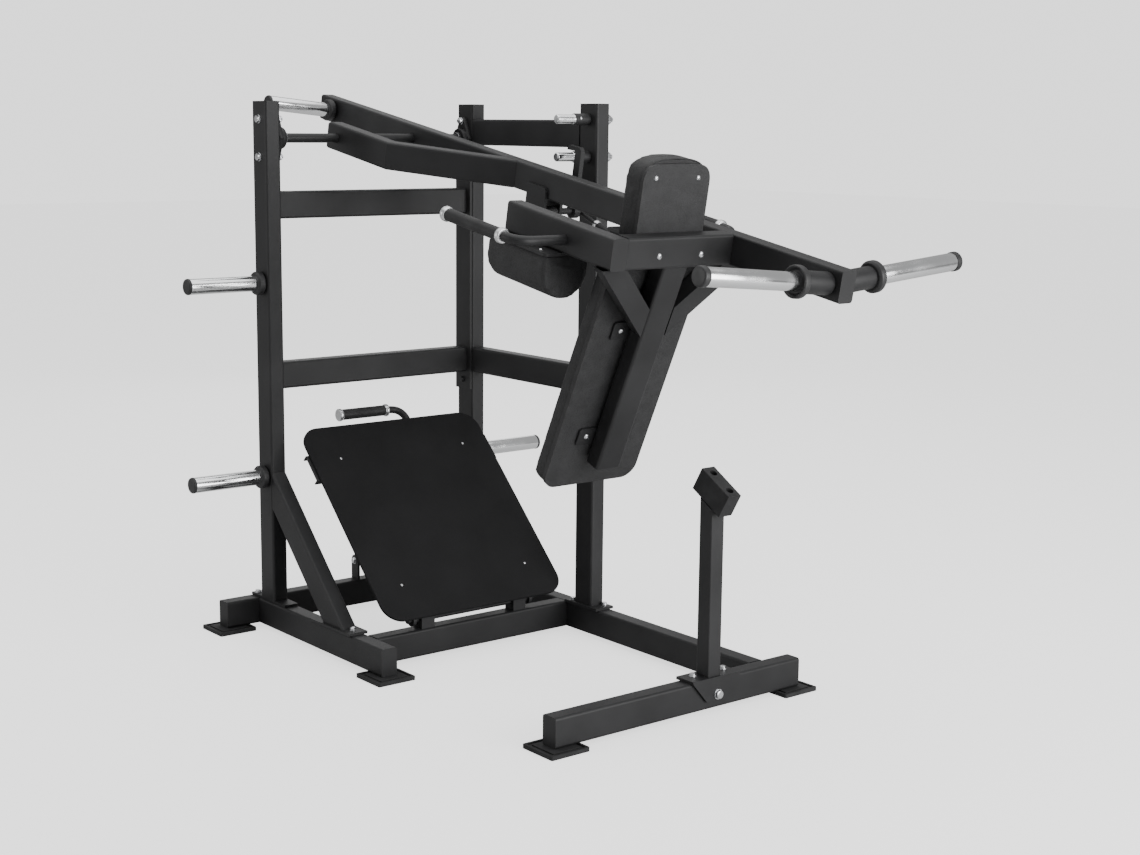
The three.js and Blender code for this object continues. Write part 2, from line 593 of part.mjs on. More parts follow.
function buildHandles() {
  const root = 1352;
  const reach = 152;
  const v = -5;
  for (const [name, y, side] of [['left_handle', LEFT_BEAM.y, -1], ['right_handle', MAIN_ARM.y, 1]]) {
    const face = y + side * (ARM.width / 2 + GAP);
    const out = y + side * (ARM.width / 2 + reach);
    const points = [at(root, face, v), at(root, out, v), at(1030, out, v)];
    const body = bentTube(points, 55, 13.5, 20);
    const grip = turned([[0, 0], [20, 0], [22, 4], [22, 18], [17.5, 18], [17.5, 250], [22, 250], [22, 266], [0, 266]],
      at(1026, out, v), X, 16);
    addPiece(name, join(body, grip), RUBBER, armGroup);
  }
}

function buildArmHorns() {
  const rise = (side, angle) => at(0, side * Math.cos(angle), Math.sin(angle));
  const left = MAIN_ARM.y - ARM.width / 2;
  const right = MAIN_ARM.y + ARM.width / 2;
  const seat = 3.5;
  addPiece('rear_weight_horn', horn(at(REAR_HORN.u, left - seat, 0), rise(-1, REAR_HORN.rise), REAR_HORN.length),
    CHROME, armGroup);
  addPiece('left_load_horn', loadHorn(at(LOAD_HORN.u, left - seat, 0), rise(-1, LOAD_HORN.rise), LOAD_HORN.length),
    CHROME, armGroup);
  addPiece('right_load_horn', loadHorn(at(LOAD_HORN.u, right + seat, 0), rise(1, LOAD_HORN.rise), LOAD_HORN.right),
    CHROME, armGroup);
}

// ---------------------------------------------------------------- catch
// Two cheeks on the main arm's sides, joined under it by the tube that carries the catch shaft.
function buildCatchBracket() {
  const cheek = new THREE.Shape();
  cheek.moveTo(652, -6);
  cheek.lineTo(652, -85);
  cheek.absarc(674, -85, 22, Math.PI, Math.PI * 1.5);
  cheek.absarc(722, -85, 22, Math.PI * 1.5, Math.PI * 2);
  cheek.absarc(730, -20, 14, 0, Math.PI / 2);
  const near = MAIN_ARM.y - ARM.width / 2 - GAP;
  const far = MAIN_ARM.y + ARM.width / 2 + GAP;
  const sleeve = bar(at(CATCH.u, near - 10, CATCH.v), Y, 17, far - near + 20);
  const bore = bar(at(CATCH.u, near - 20, CATCH.v), Y, 10.6, far - near + 40);
  const cheeks = join(sidePlate(cheek, near - 10, near), sidePlate(cheek, far, far + 10), sleeve);
  addPiece('catch_bracket', cut(cheeks, bore), BLACK_COAT, armGroup);
}

// The hook is drawn upright and engaged; x and z are measured from its shaft, and the pin that
// it holds sits at `pin`. The catch group then turns it clear of the pin.
const catchGroup = new THREE.Group();
catchGroup.position.set(CATCH.u, 0, CATCH.v);
catchGroup.rotation.y = CATCH.release - ARM_TILT;
armGroup.add(catchGroup);

function buildHook() {
  const hook = new THREE.Shape();
  hook.moveTo(-17, 10);
  hook.lineTo(-17, 181);
  hook.lineTo(-55, 178.5);
  hook.lineTo(-55, 186);
  hook.lineTo(-47, 194);
  hook.lineTo(3, 194);
  hook.lineTo(12, 184);
  hook.lineTo(12, 10);
  const low = CATCH.y;
  const high = CATCH.y + CATCH.thickness;
  const web = sidePlate(hook, low, high);
  const hub = bar(at(0, low - 3, 0), Y, 22, CATCH.thickness + 6);
  const shaft = bar(at(0, 545, 0), Y, 10, high + 12 - 545);
  addPiece('catch_hook', join(web, hub, shaft), BLACK_COAT, catchGroup);
}

// The hand lever stands on the outer end of the catch shaft.
function buildReleaseLever() {
  const y = CATCH.y + CATCH.thickness + 3.3;
  const angle = THREE.MathUtils.degToRad(24) - CATCH.release;
  const along = at(Math.cos(angle), 0, -Math.sin(angle));
  const eye = cut(bar(at(0, y, 0), Y, 18, 22), bar(at(0, y - 5, 0), Y, 10.3, 40));
  const root = at(0, y + 11, 0).addScaledVector(along, 14);
  const lever = turned([[0, 0], [7, 0], [7, 76], [14, 76], [14, 88], [12.5, 88], [12.5, 190], [14, 190],
    [14, 200], [0, 200]], root, along, 16);
  addPiece('release_lever', join(eye, lever), RUBBER, catchGroup);
}

// ---------------------------------------------------------------- foot plate
// In the foot plate's own frame x runs down the plate, z stands out of it and the hinge shaft is
// the origin.
const PLATE_UNDER = PLATE.face - 8;
const BEARER = { from: -614, to: -517, low: 22 };

function buildFootPlate() {
  const centre = PLATE.lip - PLATE.length / 2;
  const place = frameAt(at(centre, MIDDLE, PLATE_UNDER), Z, Y);
  const shape = roundedRectangle(PLATE.length, PLATE.width, 65);
  addPiece('foot_plate', extrude(shape, 0, 8, place, 8), RUBBER, plateGroup);
}

function buildHingeShaft() {
  addPiece('foot_plate_shaft', bar(at(0, MIDDLE - 240, 0), Y, 10, 480), CHROME, plateGroup);
}

// Side rails with hinge lugs, from the shaft up to the bearer.
function buildFootPlateRails() {
  const top = PLATE_UNDER - GAP;
  for (const [name, side] of [['left', -1], ['right', 1]]) {
    const y = MIDDLE + side * 222;
    const end = BEARER.to + GAP;
    const body = tube({ from: at(end, y, top - 15), to: at(-34, y, top - 15), up: Z, width: 30, height: 30,
      ends: ['open', 'open'], corner: 5 });
    const lug = new THREE.Shape();
    lug.moveTo(-60, top - 2);
    lug.lineTo(-60, top - 28);
    lug.lineTo(-14, -14);
    lug.absarc(0, 0, 20, Math.PI * 1.25, Math.PI * 2.25);
    lug.lineTo(-20, top - 2);
    const hole = bar(at(0, y - 30, 0), Y, 10.3, 60);
    addPiece(`${name}_foot_plate_rail`, join(body, cut(sidePlate(lug, y - 5, y + 5), hole)), BLACK_COAT, plateGroup);
  }
}

// A folded channel across the plate's back, with two lugs for the prop's cross pin.
function buildBearer() {
  const top = PLATE_UNDER - GAP;
  const wall = 4;
  const channel = outline([[BEARER.from, top], [BEARER.from, BEARER.low], [BEARER.from + wall, BEARER.low],
    [BEARER.from + wall, top - wall], [BEARER.to - wall, top - wall], [BEARER.to - wall, BEARER.low],
    [BEARER.to, BEARER.low], [BEARER.to, top]]);
  const body = sidePlate(channel, MIDDLE - 348, MIDDLE + 348);
  const lug = new THREE.Shape();
  lug.moveTo(BEARER.from + 2, top - 2);
  lug.lineTo(-PROP.reach - 19, 0);
  lug.absarc(-PROP.reach, 0, 19, Math.PI, Math.PI * 2);
  lug.lineTo(BEARER.to - 2, top - 2);
  const hole = bar(at(-PROP.reach, MIDDLE - 60, 0), Y, PROP.pin + 3.5, 120);
  const lugs = [-1, 1].map((side) => cut(sidePlate(lug, MIDDLE + side * 27 - 4, MIDDLE + side * 27 + 4), hole));
  addPiece('foot_plate_bearer', join(body, ...lugs), BLACK_COAT, plateGroup);
}

function buildFootPlateHandle() {
  const y = MIDDLE + 92;
  const n = 26;
  const edge = -768;
  const points = [at(BEARER.from - GAP, y, n), at(edge, y, n), at(edge, 268, n)];
  const grip = turned([[0, 0], [19, 0], [21, 4], [21, 14], [18.5, 14], [18.5, 176], [21, 176], [21, 190], [0, 190]],
    at(edge, 264, n), Y, 16);
  addPiece('foot_plate_handle', join(bentTube(points, 50, 12, 18), grip), RUBBER, plateGroup);
}

// ---------------------------------------------------------------- prop under the foot plate
// Where the prop's cross pin stands, from its foot: the prop is drawn along this line.
function propLine() {
  const cos = Math.cos(PLATE_TILT);
  const sin = Math.sin(PLATE_TILT);
  const head = at(PLATE.x - PROP.reach * cos, MIDDLE, PLATE.z + PROP.reach * sin);
  const foot = at(PROP.x, MIDDLE, PROP.z);
  const along = new THREE.Vector3().subVectors(head, foot);
  return { foot, length: along.length(), along: along.normalize() };
}

function buildProp() {
  const { foot, along, length } = propLine();
  const rise = (distance) => foot.clone().addScaledVector(along, distance);
  const sleeve = cut(bar(rise(26), along, 20, 274), bar(rise(44), along, 14.6, 300));
  const eye = cut(bar(at(foot.x, foot.y - 24, foot.z), Y, 15, 48), bar(at(foot.x, foot.y - 30, foot.z), Y, 7.6, 60));
  const neck = bar(rise(11), along, 10, 20);
  const tubeBody = cut(join(sleeve, neck, eye), bar(at(foot.x, foot.y - 30, foot.z), Y, 7.6, 60));
  addPiece('prop_tube', tubeBody, BLACK_COAT);

  const rod = bar(rise(150), along, 13.6, length - 150);
  const head = rise(length);
  const pin = bar(at(head.x, head.y - 38, head.z), Y, PROP.pin, 76);
  const boss = bar(at(head.x, head.y - 20, head.z), Y, 15, 40);
  addPiece('prop_rod', join(rod, pin, boss), CHROME);
}

// ---------------------------------------------------------------- assembly
buildRearBaseTube();
buildRails();
buildFrontCrossTube();
buildEndBaseTube();
buildFeet();
buildUprights();
buildCrossbars();
buildDiagonalBrace();
buildStop();
buildStorageHorns();
buildBearings();
buildCatchPins();
buildMainArm();
buildBentArm();
buildPivotShaft();
buildLeftBeam();
buildCrossBeam();
buildHanger();
buildKneeBraces();
buildBackPad();
buildHeadrest();
buildShoulderPads();
buildHandles();
buildArmHorns();
buildCatchBracket();
buildHook();
buildReleaseLever();
buildFootPlate();
buildHingeShaft();
buildFootPlateRails();
buildBearer();
buildFootPlateHandle();
buildProp();

// The origin goes to the middle of the bounding box, on the floor.
machine.updateMatrixWorld(true);
const bounds = new THREE.Box3().setFromObject(machine, true);
const middle = bounds.getCenter(new THREE.Vector3());
machine.position.set(-middle.x, -middle.y, -bounds.min.z);

export default machine;
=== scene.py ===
"""Looks of the plate-loaded squat press: powder-coated tube frame, chromed weight horns,
rubber grips, vinyl pads and zinc-plated bolts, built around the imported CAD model."""

import json
import math

import bmesh
import bpy
import numpy as np
from mathutils import Matrix, Vector


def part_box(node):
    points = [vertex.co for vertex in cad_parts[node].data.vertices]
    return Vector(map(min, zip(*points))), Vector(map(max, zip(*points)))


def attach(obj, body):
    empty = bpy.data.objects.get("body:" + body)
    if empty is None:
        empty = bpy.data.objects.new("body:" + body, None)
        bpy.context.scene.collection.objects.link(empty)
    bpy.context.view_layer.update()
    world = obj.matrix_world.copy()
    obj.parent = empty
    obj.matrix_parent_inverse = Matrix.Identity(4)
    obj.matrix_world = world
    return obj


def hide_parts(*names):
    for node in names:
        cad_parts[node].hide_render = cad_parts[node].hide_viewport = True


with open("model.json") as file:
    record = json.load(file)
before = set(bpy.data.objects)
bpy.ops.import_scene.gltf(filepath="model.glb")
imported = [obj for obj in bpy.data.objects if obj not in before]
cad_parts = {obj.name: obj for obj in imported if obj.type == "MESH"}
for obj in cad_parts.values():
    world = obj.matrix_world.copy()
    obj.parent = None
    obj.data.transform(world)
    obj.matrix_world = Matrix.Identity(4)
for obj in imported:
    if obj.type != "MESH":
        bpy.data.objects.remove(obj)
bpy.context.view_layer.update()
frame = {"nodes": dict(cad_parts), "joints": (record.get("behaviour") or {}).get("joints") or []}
NODES = frame["nodes"]

# ------------------------------------------------------------------ layout
# Design millimetres: x from the rear face of the rear base tube, y from the left rail's outer
# face, z from the floor. The three tilted frames are the arm's, the hanger's and the foot plate's.
ORIGIN = np.array([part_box("rear_base_tube")[0].x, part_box("left_base_rail")[0].y, 0.0])
ARM_TILT = math.radians(10.3)
HANGER_TILT = ARM_TILT + math.radians(14.4)
PLATE_TILT = math.radians(44.67)
POST_X = 109.5
LEFT_Y = 27.5
RIGHT_Y = 809.5
MIDDLE_Y = 418.5
ARM_Y = 596.0
LEFT_BEAM_Y = 179.5
HANGER_Y = 388.0
HALF_ARM = 42.5
HALF_POST = 26.0
PIVOT_Z = 1576.0
PIN_X = 761.5
PIN_HEIGHT = {"upper": 1641, "lower": 1527}
STORAGE_HEIGHT = {"upper": 1126, "lower": 508}
HORN_SEAT = 29.5
BASE_BOLT_Z = 105.3
PLATE_BAR_V = 26.0


def mm(x, y, z):
    """A design point in the row frame, in metres."""
    return ORIGIN + np.array([x, y, z], float) / 1000


def tilted(start, tilt):
    """Maps (u, y, v) in mm to the row frame: u runs forward and down by `tilt`, v is square to it."""
    along = np.array([math.cos(tilt), 0, -math.sin(tilt)])
    up = np.array([math.sin(tilt), 0, math.cos(tilt)])
    across = np.array([0, 1.0, 0])

    def point(u, y, v):
        return start + (u * along + y * across + v * up) / 1000

    point.along, point.across, point.up = along, across, up
    return point


arm = tilted(mm(POST_X, 0, PIVOT_Z), ARM_TILT)
hanger = tilted(arm(1510, HANGER_Y, -HALF_ARM), HANGER_TILT)
plate = tilted(mm(654.5, 0, 125), PLATE_TILT)
X, Y, Z = np.eye(3)


# ------------------------------------------------------------------ mesh building
def build(name, verts, faces, material, body, slot, smooth=35.0):
    """Puts arrays of points and faces into an object that rides on `body`; shared poles are merged."""
    mesh = bpy.data.meshes.new(name)
    mesh.from_pydata(np.asarray(verts).tolist(), [], np.asarray(faces).tolist())
    shell = bmesh.new()
    shell.from_mesh(mesh)
    bmesh.ops.remove_doubles(shell, verts=shell.verts, dist=2e-6)
    bmesh.ops.recalc_face_normals(shell, faces=shell.faces)
    shell.to_mesh(mesh)
    shell.free()
    return finish_piece(name, mesh, material, body, smooth)


def finish_piece(name, mesh, material, body, smooth=35.0):
    """Gives a mesh its material and smoothing, and rides it on its body."""
    mesh.materials.clear()
    mesh.materials.append(material)
    mesh.polygons.foreach_set("use_smooth", np.ones(len(mesh.polygons), bool))
    mesh.set_sharp_from_angle(angle=math.radians(smooth))
    piece = bpy.data.objects.new(name, mesh)
    bpy.context.scene.collection.objects.link(piece)
    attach(piece, body)
    return piece


def joined(parts):
    """Several (points, faces) surfaces as one, with each part's face numbers moved on."""
    verts, faces, count = [], [], 0
    for points, quads in parts:
        verts.append(points)
        faces.append(quads + count)
        count += len(points)
    return np.concatenate(verts), np.concatenate(faces)


def wrapped_grid(points):
    """A grid of rings (n, m, 3) as points and quads, closed round each ring."""
    rings, sides = points.shape[:2]
    i, j = np.meshgrid(np.arange(rings - 1), np.arange(sides), indexing="ij")
    k = (j + 1) % sides
    quads = np.stack([i * sides + j, i * sides + k, (i + 1) * sides + k, (i + 1) * sides + j], -1)
    return points.reshape(-1, 3), quads.reshape(-1, 4)


def square_axes(along):
    """Two unit directions square to `along`, and `along` itself at unit length."""
    ahead = np.asarray(along, float) / np.linalg.norm(along)
    helper = Z if abs(ahead[2]) < 0.9 else X
    side = np.cross(helper, ahead)
    side /= np.linalg.norm(side)
    return side, np.cross(ahead, side), ahead


def rings_about(radii, distances, start, along):
    """Rings of `radii` mm (n, m) at `distances` mm (n) along an axis; end rings of radius 0 are poles."""
    side, up, ahead = square_axes(along)
    angle = np.linspace(0, 2 * np.pi, radii.shape[1], endpoint=False)
    spoke = np.cos(angle)[:, None] * side + np.sin(angle)[:, None] * up
    centre = np.asarray(start) + np.asarray(distances)[:, None] / 1000 * ahead
    return wrapped_grid(centre[:, None] + radii[:, :, None] / 1000 * spoke)


def softened(profile, radius, steps=4):
    """A profile whose inner corners are rounded by the quadratic curve (1-t)^2 a + 2t(1-t) b + t^2 c."""
    profile = np.asarray(profile, float)
    t = np.linspace(0, 1, steps + 1)[:, None]
    out = [profile[:1]]
    for before, corner, after in zip(profile[:-2], profile[1:-1], profile[2:]):
        reach = [min(radius, 0.45 * np.linalg.norm(end - corner)) for end in (before, after)]
        a = corner + (before - corner) / np.linalg.norm(before - corner) * reach[0]
        c = corner + (after - corner) / np.linalg.norm(after - corner) * reach[1]
        out.append((1 - t) ** 2 * a + 2 * t * (1 - t) * corner + t ** 2 * c)
    return np.concatenate(out + [profile[-1:]])


def turned(profile, start, along, round_by=1.2, sides=48):
    """A solid of revolution of (radius, distance) pairs in mm, its corners softened."""
    profile = softened(profile, round_by)
    return rings_about(np.outer(profile[:, 0], np.ones(sides)), profile[:, 1], start, along)


def hexagon(flats, sides=24):
    """Radius of a hexagon at each angle: half the flats over the cosine from the middle of a flat."""
    angle = np.linspace(0, 2 * np.pi, sides, endpoint=False)
    return flats / 2 / np.cos((angle + np.pi / 6) % (np.pi / 3) - np.pi / 6)


def hex_bolt(start, along, flats=19.0, head=8.0, washer=1.6):
    """A washer, then a hexagon whose top is cut by a cone, as the lesser of the two radii."""
    hexed = hexagon(flats)
    flat = np.ones_like(hexed)
    radii = np.stack([0 * flat, flats * 0.62 * flat, flats * 0.62 * flat, flats * 0.52 * flat, hexed, hexed,
                      np.minimum(hexed, flats * 0.49), flats * 0.40 * flat, 0 * flat])
    lift = washer + np.array([0, 0, head * 0.86, head, head])
    distances = np.concatenate([[-0.4, -0.4, washer, washer], lift])
    return rings_about(radii, distances, start, along)


def nut_with_stud(start, along, flats=19.0, height=9.0, stud=6.0):
    """A washer, a nut, and the rounded end of the bolt standing out of it."""
    hexed = hexagon(flats)
    flat = np.ones_like(hexed)
    core = flats * 0.30
    radii = np.stack([0 * flat, flats * 0.62 * flat, flats * 0.62 * flat, hexed, hexed,
                      np.minimum(hexed, flats * 0.49), core * 1.1 * flat, core * flat, core * flat,
                      core * 0.75 * flat, 0 * flat])
    distances = np.array([-0.4, -0.4, 1.6, 1.6, height, height + 1.2, height + 1.4, height + 1.2,
                          height + stud, height + stud + 1, height + stud + 1])
    return rings_about(radii, distances, start, along)


def dome_screw(start, along, radius=8.0, height=4.5):
    """A button head: a shallow dome r cos(a), h sin(a) with a hexagon socket sunk in its top."""
    angle = np.linspace(0, 1.15, 7)
    dome = np.stack([radius * np.cos(angle), height * np.sin(angle)], 1)
    socket = hexagon(radius * 0.75)
    flat = np.ones_like(socket)
    radii = np.concatenate([[0 * flat, radius * flat], dome[:, :1] * flat,
                            [socket, socket, 0 * flat]])
    distances = np.concatenate([[-0.5, -0.5], dome[:, 1], [height * 0.92, height * 0.45, height * 0.45]])
    return rings_about(radii, distances, start, along)


def bent_path(points, bend, step=6.0):
    """Points along straight runs joined by the curve (1-t)^2 a + 2t(1-t) corner + t^2 c, in metres."""
    points = [np.asarray(p, float) for p in points]
    reach = bend / 1000
    pieces, start = [], points[0]
    t = np.linspace(0, 1, 15)[:, None]
    for before, corner, after in zip(points[:-2], points[1:-1], points[2:]):
        a = corner + (before - corner) / np.linalg.norm(before - corner) * reach
        c = corner + (after - corner) / np.linalg.norm(after - corner) * reach
        count = max(2, int(np.linalg.norm(a - start) * 1000 / step))
        pieces.append(start + np.linspace(0, 1, count, endpoint=False)[:, None] * (a - start))
        pieces.append(((1 - t) ** 2 * a + 2 * t * (1 - t) * corner + t ** 2 * c)[:-1])
        start = c
    count = max(2, int(np.linalg.norm(points[-1] - start) * 1000 / step))
    pieces.append(start + np.linspace(0, 1, count)[:, None] * (points[-1] - start))
    return np.concatenate(pieces)


def swept(path, radius, normal, sides=32):
    """A round tube: at each path point a circle in the plane of `normal` and the path's own side."""
    ahead = np.gradient(path, axis=0)
    ahead /= np.linalg.norm(ahead, axis=1)[:, None]
    up = np.broadcast_to(normal / np.linalg.norm(normal), path.shape)
    side = np.cross(up, ahead)
    angle = np.linspace(0, 2 * np.pi, sides, endpoint=False)
    spoke = np.cos(angle)[None, :, None] * side[:, None] + np.sin(angle)[None, :, None] * up[:, None]
    rings = path[:, None] + radius / 1000 * spoke
    ends = [np.broadcast_to(path[i], rings[i].shape)[None] for i in (0, -1)]
    return wrapped_grid(np.concatenate([ends[0], rings, ends[1]]))


# ------------------------------------------------------------------ materials
def linear(hexadecimal):
    """An sRGB hex colour as linear red, green, blue and alpha."""
    value = np.array([int(hexadecimal[i:i + 2], 16) for i in (1, 3, 5)]) / 255
    value = np.where(value <= 0.04045, value / 12.92, ((value + 0.055) / 1.055) ** 2.4)
    return (*value, 1.0)


def add(tree, kind, settings=None, links=None):
    """Adds one node, sets its properties or sockets, and links outputs to its sockets."""
    node = tree.nodes.new(kind)
    for key, value in (settings or {}).items():
        if isinstance(key, int) or key in node.inputs:
            node.inputs[key].default_value = value
        else:
            setattr(node, key, value)
    for key, output in (links or {}).items():
        tree.links.new(output, node.inputs[key])
    return node


def blank(name, base, roughness, metallic=0.0, **sockets):
    """A material with one shader; returns it with its tree, shader and object coordinates."""
    material = bpy.data.materials.new(name)
    material.use_nodes = True
    tree = material.node_tree
    shader = tree.nodes["Principled BSDF"]
    shader.inputs["Base Color"].default_value = linear(base)
    shader.inputs["Roughness"].default_value = roughness
    shader.inputs["Metallic"].default_value = metallic
    for key, value in sockets.items():
        shader.inputs[key.replace("_", " ")].default_value = value
    place = add(tree, "ShaderNodeTexCoord").outputs["Object"]
    return material, tree, shader, place


def shaded(tree, shader, factor, low, high):
    """Base colour runs from `low` to `high` as `factor` goes from 0 to 1."""
    mix = add(tree, "ShaderNodeMix", {"data_type": "RGBA", 6: linear(low), 7: linear(high)}, {0: factor})
    tree.links.new(mix.outputs[2], shader.inputs["Base Color"])


def spread(tree, source, low, high, to_low=0.0, to_high=1.0):
    """A value stretched from one range to another and kept inside it."""
    return add(tree, "ShaderNodeMapRange",
               {"From Min": low, "From Max": high, "To Min": to_low, "To Max": to_high},
               {"Value": source}).outputs["Result"]


def bumped(tree, shader, height, strength, distance_mm):
    """Bends the shader's normal by a height field of so many millimetres."""
    bump = add(tree, "ShaderNodeBump", {"Strength": strength, "Distance": distance_mm / 1000},
               {"Height": height})
    tree.links.new(bump.outputs["Normal"], shader.inputs["Normal"])


def per_mm(size):
    """Texture scale whose pattern repeats about every `size` millimetres."""
    return 1000.0 / size


def powder_coat(name, low, high, grain, roughness, gloss=0.35):
    """Baked polyester powder: fine pebbled skin with a soft sheen. Real grain is about 1 mm; it is
    drawn a little coarser so that it shows. Broad, faint patches come from uneven film thickness."""
    material, tree, shader, place = blank(name, low, roughness, Specular_IOR_Level=gloss)
    pebbles = add(tree, "ShaderNodeTexNoise", {"Scale": per_mm(grain), "Detail": 3.0, "Roughness": 0.55},
                  {"Vector": place}).outputs["Fac"]
    patches = add(tree, "ShaderNodeTexNoise", {"Scale": per_mm(160), "Detail": 2.0},
                  {"Vector": place}).outputs["Fac"]
    both = add(tree, "ShaderNodeMath", {"operation": "MULTIPLY_ADD", 1: 0.6},
               {0: pebbles, 2: patches}).outputs[0]
    shaded(tree, shader, spread(tree, both, 0.55, 1.05), low, high)
    tree.links.new(spread(tree, pebbles, 0.3, 0.7, roughness - 0.06, roughness + 0.08),
                   shader.inputs["Roughness"])
    bumped(tree, shader, pebbles, 0.35, 0.25)
    return material


def chrome_plate(name, base, roughness, scratch_mm=1.5):
    """Decorative chrome over turned steel: a clear mirror with very fine, faint polishing marks
    and the scuffs that plates leave as they slide on."""
    material, tree, shader, place = blank(name, base, roughness, 1.0)
    fine = add(tree, "ShaderNodeTexNoise", {"Scale": per_mm(scratch_mm), "Detail": 4.0, "Roughness": 0.7},
               {"Vector": place}).outputs["Fac"]
    broad = add(tree, "ShaderNodeTexNoise", {"Scale": per_mm(60), "Detail": 3.0},
                {"Vector": place}).outputs["Fac"]
    tree.links.new(spread(tree, broad, 0.35, 0.75, roughness * 0.7, roughness * 1.7),
                   shader.inputs["Roughness"])
    bumped(tree, shader, fine, 0.05, 0.02)
    return material


def moulded_rubber(name, low, high, grain, roughness, strength=0.3):
    """Moulded black rubber: dull, faintly mottled by bloom, with a fine spark-eroded texture."""
    material, tree, shader, place = blank(name, low, roughness, Specular_IOR_Level=0.4)
    grit = add(tree, "ShaderNodeTexNoise", {"Scale": per_mm(grain), "Detail": 2.0},
               {"Vector": place}).outputs["Fac"]
    bloom = add(tree, "ShaderNodeTexNoise", {"Scale": per_mm(45), "Detail": 3.0},
                {"Vector": place}).outputs["Fac"]
    shaded(tree, shader, spread(tree, bloom, 0.3, 0.75), low, high)
    tree.links.new(spread(tree, bloom, 0.3, 0.75, roughness + 0.06, roughness - 0.08),
                   shader.inputs["Roughness"])
    bumped(tree, shader, grit, strength, 0.2)
    return material


def grained_vinyl(name, low, high, cell, roughness):
    """Upholstery vinyl: rolled-in leather grain of rounded cells, with painted shade darkening the
    creases between them. Real cells are about 1.5 mm; they are drawn near twice that so that they show."""
    material, tree, shader, place = blank(name, low, roughness, Specular_IOR_Level=0.45)
    warp = add(tree, "ShaderNodeTexNoise", {"Scale": per_mm(9), "Detail": 2.0}, {"Vector": place})
    bent = add(tree, "ShaderNodeVectorMath", {"operation": "MULTIPLY_ADD", 1: (0.004, 0.004, 0.004)},
               {0: warp.outputs["Color"], 2: place}).outputs[0]
    cells = add(tree, "ShaderNodeTexVoronoi", {"feature": "DISTANCE_TO_EDGE", "Scale": per_mm(cell)},
                {"Vector": bent}).outputs["Distance"]
    rise = spread(tree, cells, 0.0, 0.22)
    fold = add(tree, "ShaderNodeTexNoise", {"Scale": per_mm(30), "Detail": 4.0},
               {"Vector": place}).outputs["Fac"]
    # Base colour: painted shade darkens the creases between the grain cells, and a broad 30 mm noise adds
    # random tone.
    painted_crease_shade_and_tone = add(tree, "ShaderNodeMath", {"operation": "MULTIPLY_ADD", 1: 0.45},
               {0: rise, 2: fold}).outputs[0]
    shaded(tree, shader, spread(tree, painted_crease_shade_and_tone, 0.35, 1.05), low, high)
    tree.links.new(spread(tree, rise, 0.0, 1.0, roughness + 0.12, roughness - 0.04),
                   shader.inputs["Roughness"])
    bumped(tree, shader, rise, 0.75, 0.5)
    return material


POWDER = powder_coat("black satin powder coat", "#181819", "#252526", 2.4, 0.5)
PLATE_POWDER = powder_coat("textured powder coat of the foot plate", "#0e0e0f", "#151516", 3.2, 0.75, 0.22)
CASTING = powder_coat("sand-cast iron under black enamel", "#151516", "#202021", 3.6, 0.5)
CHROME = chrome_plate("chromed horn sleeve", "#e4e5e6", 0.16)
BRIGHT_STEEL = chrome_plate("ground steel bar", "#c9cacc", 0.24)
ALUMINIUM = chrome_plate("satin anodised aluminium collar", "#d6d7d8", 0.3)
ZINC = chrome_plate("zinc-plated bolt", "#d0d1d3", 0.28)
RUBBER = moulded_rubber("moulded rubber foot", "#1b1b1c", "#262627", 2.2, 0.72)
GRIP = moulded_rubber("extruded rubber grip", "#1a1a1b", "#222223", 1.6, 0.6)
CAP = moulded_rubber("polyurethane end cap", "#1e1e1f", "#2a2a2b", 2.0, 0.5)
VINYL = grained_vinyl("grained upholstery vinyl", "#121213", "#29292a", 3.4, 0.55)
BOARD_VINYL = grained_vinyl("thin vinyl over board", "#171718", "#29292a", 3.4, 0.54)
PIPING = moulded_rubber("vinyl piping", "#171718", "#222223", 1.8, 0.5, 0.15)

NODE_FINISH = {"foot_plate": PLATE_POWDER, "prop_rod": BRIGHT_STEEL, "stop_block": RUBBER,
               "back_pad_board": BOARD_VINYL, "headrest_board": BOARD_VINYL}


def finish_of(part):
    """The finish of a CAD part that shows as it is: its own, rubber on the feet, or powder coat."""
    return NODE_FINISH.get(part, RUBBER if part.endswith("_foot") else POWDER)


for part, node in NODES.items():
    for number in range(len(node.material_slots)):
        node.material_slots[number].material = finish_of(part)


# ------------------------------------------------------------------ pads
# Cloth pressure and frames; then, in metres, how far the pads' backs clear their boards, how deep
# the part that is pressed flat reaches, and how far the skin may stand out of the CAD box.
PRESSURE = 4.0
CLOTH_FRAMES = 20
SEAT_LIFT = 0.0002
SEAT_DEPTH = 0.004
PROUD = 0.001


def evaluated(piece):
    """The mesh of an object with its modifiers worked in."""
    graph = bpy.context.evaluated_depsgraph_get()
    return bpy.data.meshes.new_from_object(piece.evaluated_get(graph), depsgraph=graph)


def points_of(mesh):
    """The mesh's points as an array of rows."""
    flat = np.empty(len(mesh.vertices) * 3)
    mesh.vertices.foreach_get("co", flat)
    return flat.reshape(-1, 3)


def normals_of(mesh):
    """The mesh's point normals as an array of rows."""
    flat = np.empty(len(mesh.vertices) * 3)
    mesh.vertices.foreach_get("normal", flat)
    return flat.reshape(-1, 3)


def worked(mesh, kind, frames=0, **settings):
    """A new mesh: `mesh` with one modifier applied, after `frames` simulated frames if any."""
    piece = bpy.data.objects.new("work", mesh)
    bpy.context.scene.collection.objects.link(piece)
    modifier = piece.modifiers.new("work", kind)
    for key, value in settings.items():
        setattr(modifier, key, value)
    if kind == "CLOTH":
        cloth = modifier.settings
        cloth.use_pressure = True
        cloth.uniform_pressure_force = PRESSURE
        cloth.effector_weights.gravity = 0.0
        modifier.point_cache.frame_end = frames
        for number in range(1, frames + 1):
            bpy.context.scene.frame_set(number)
    result = evaluated(piece)
    bpy.data.objects.remove(piece)
    bpy.context.scene.frame_set(1)
    return result


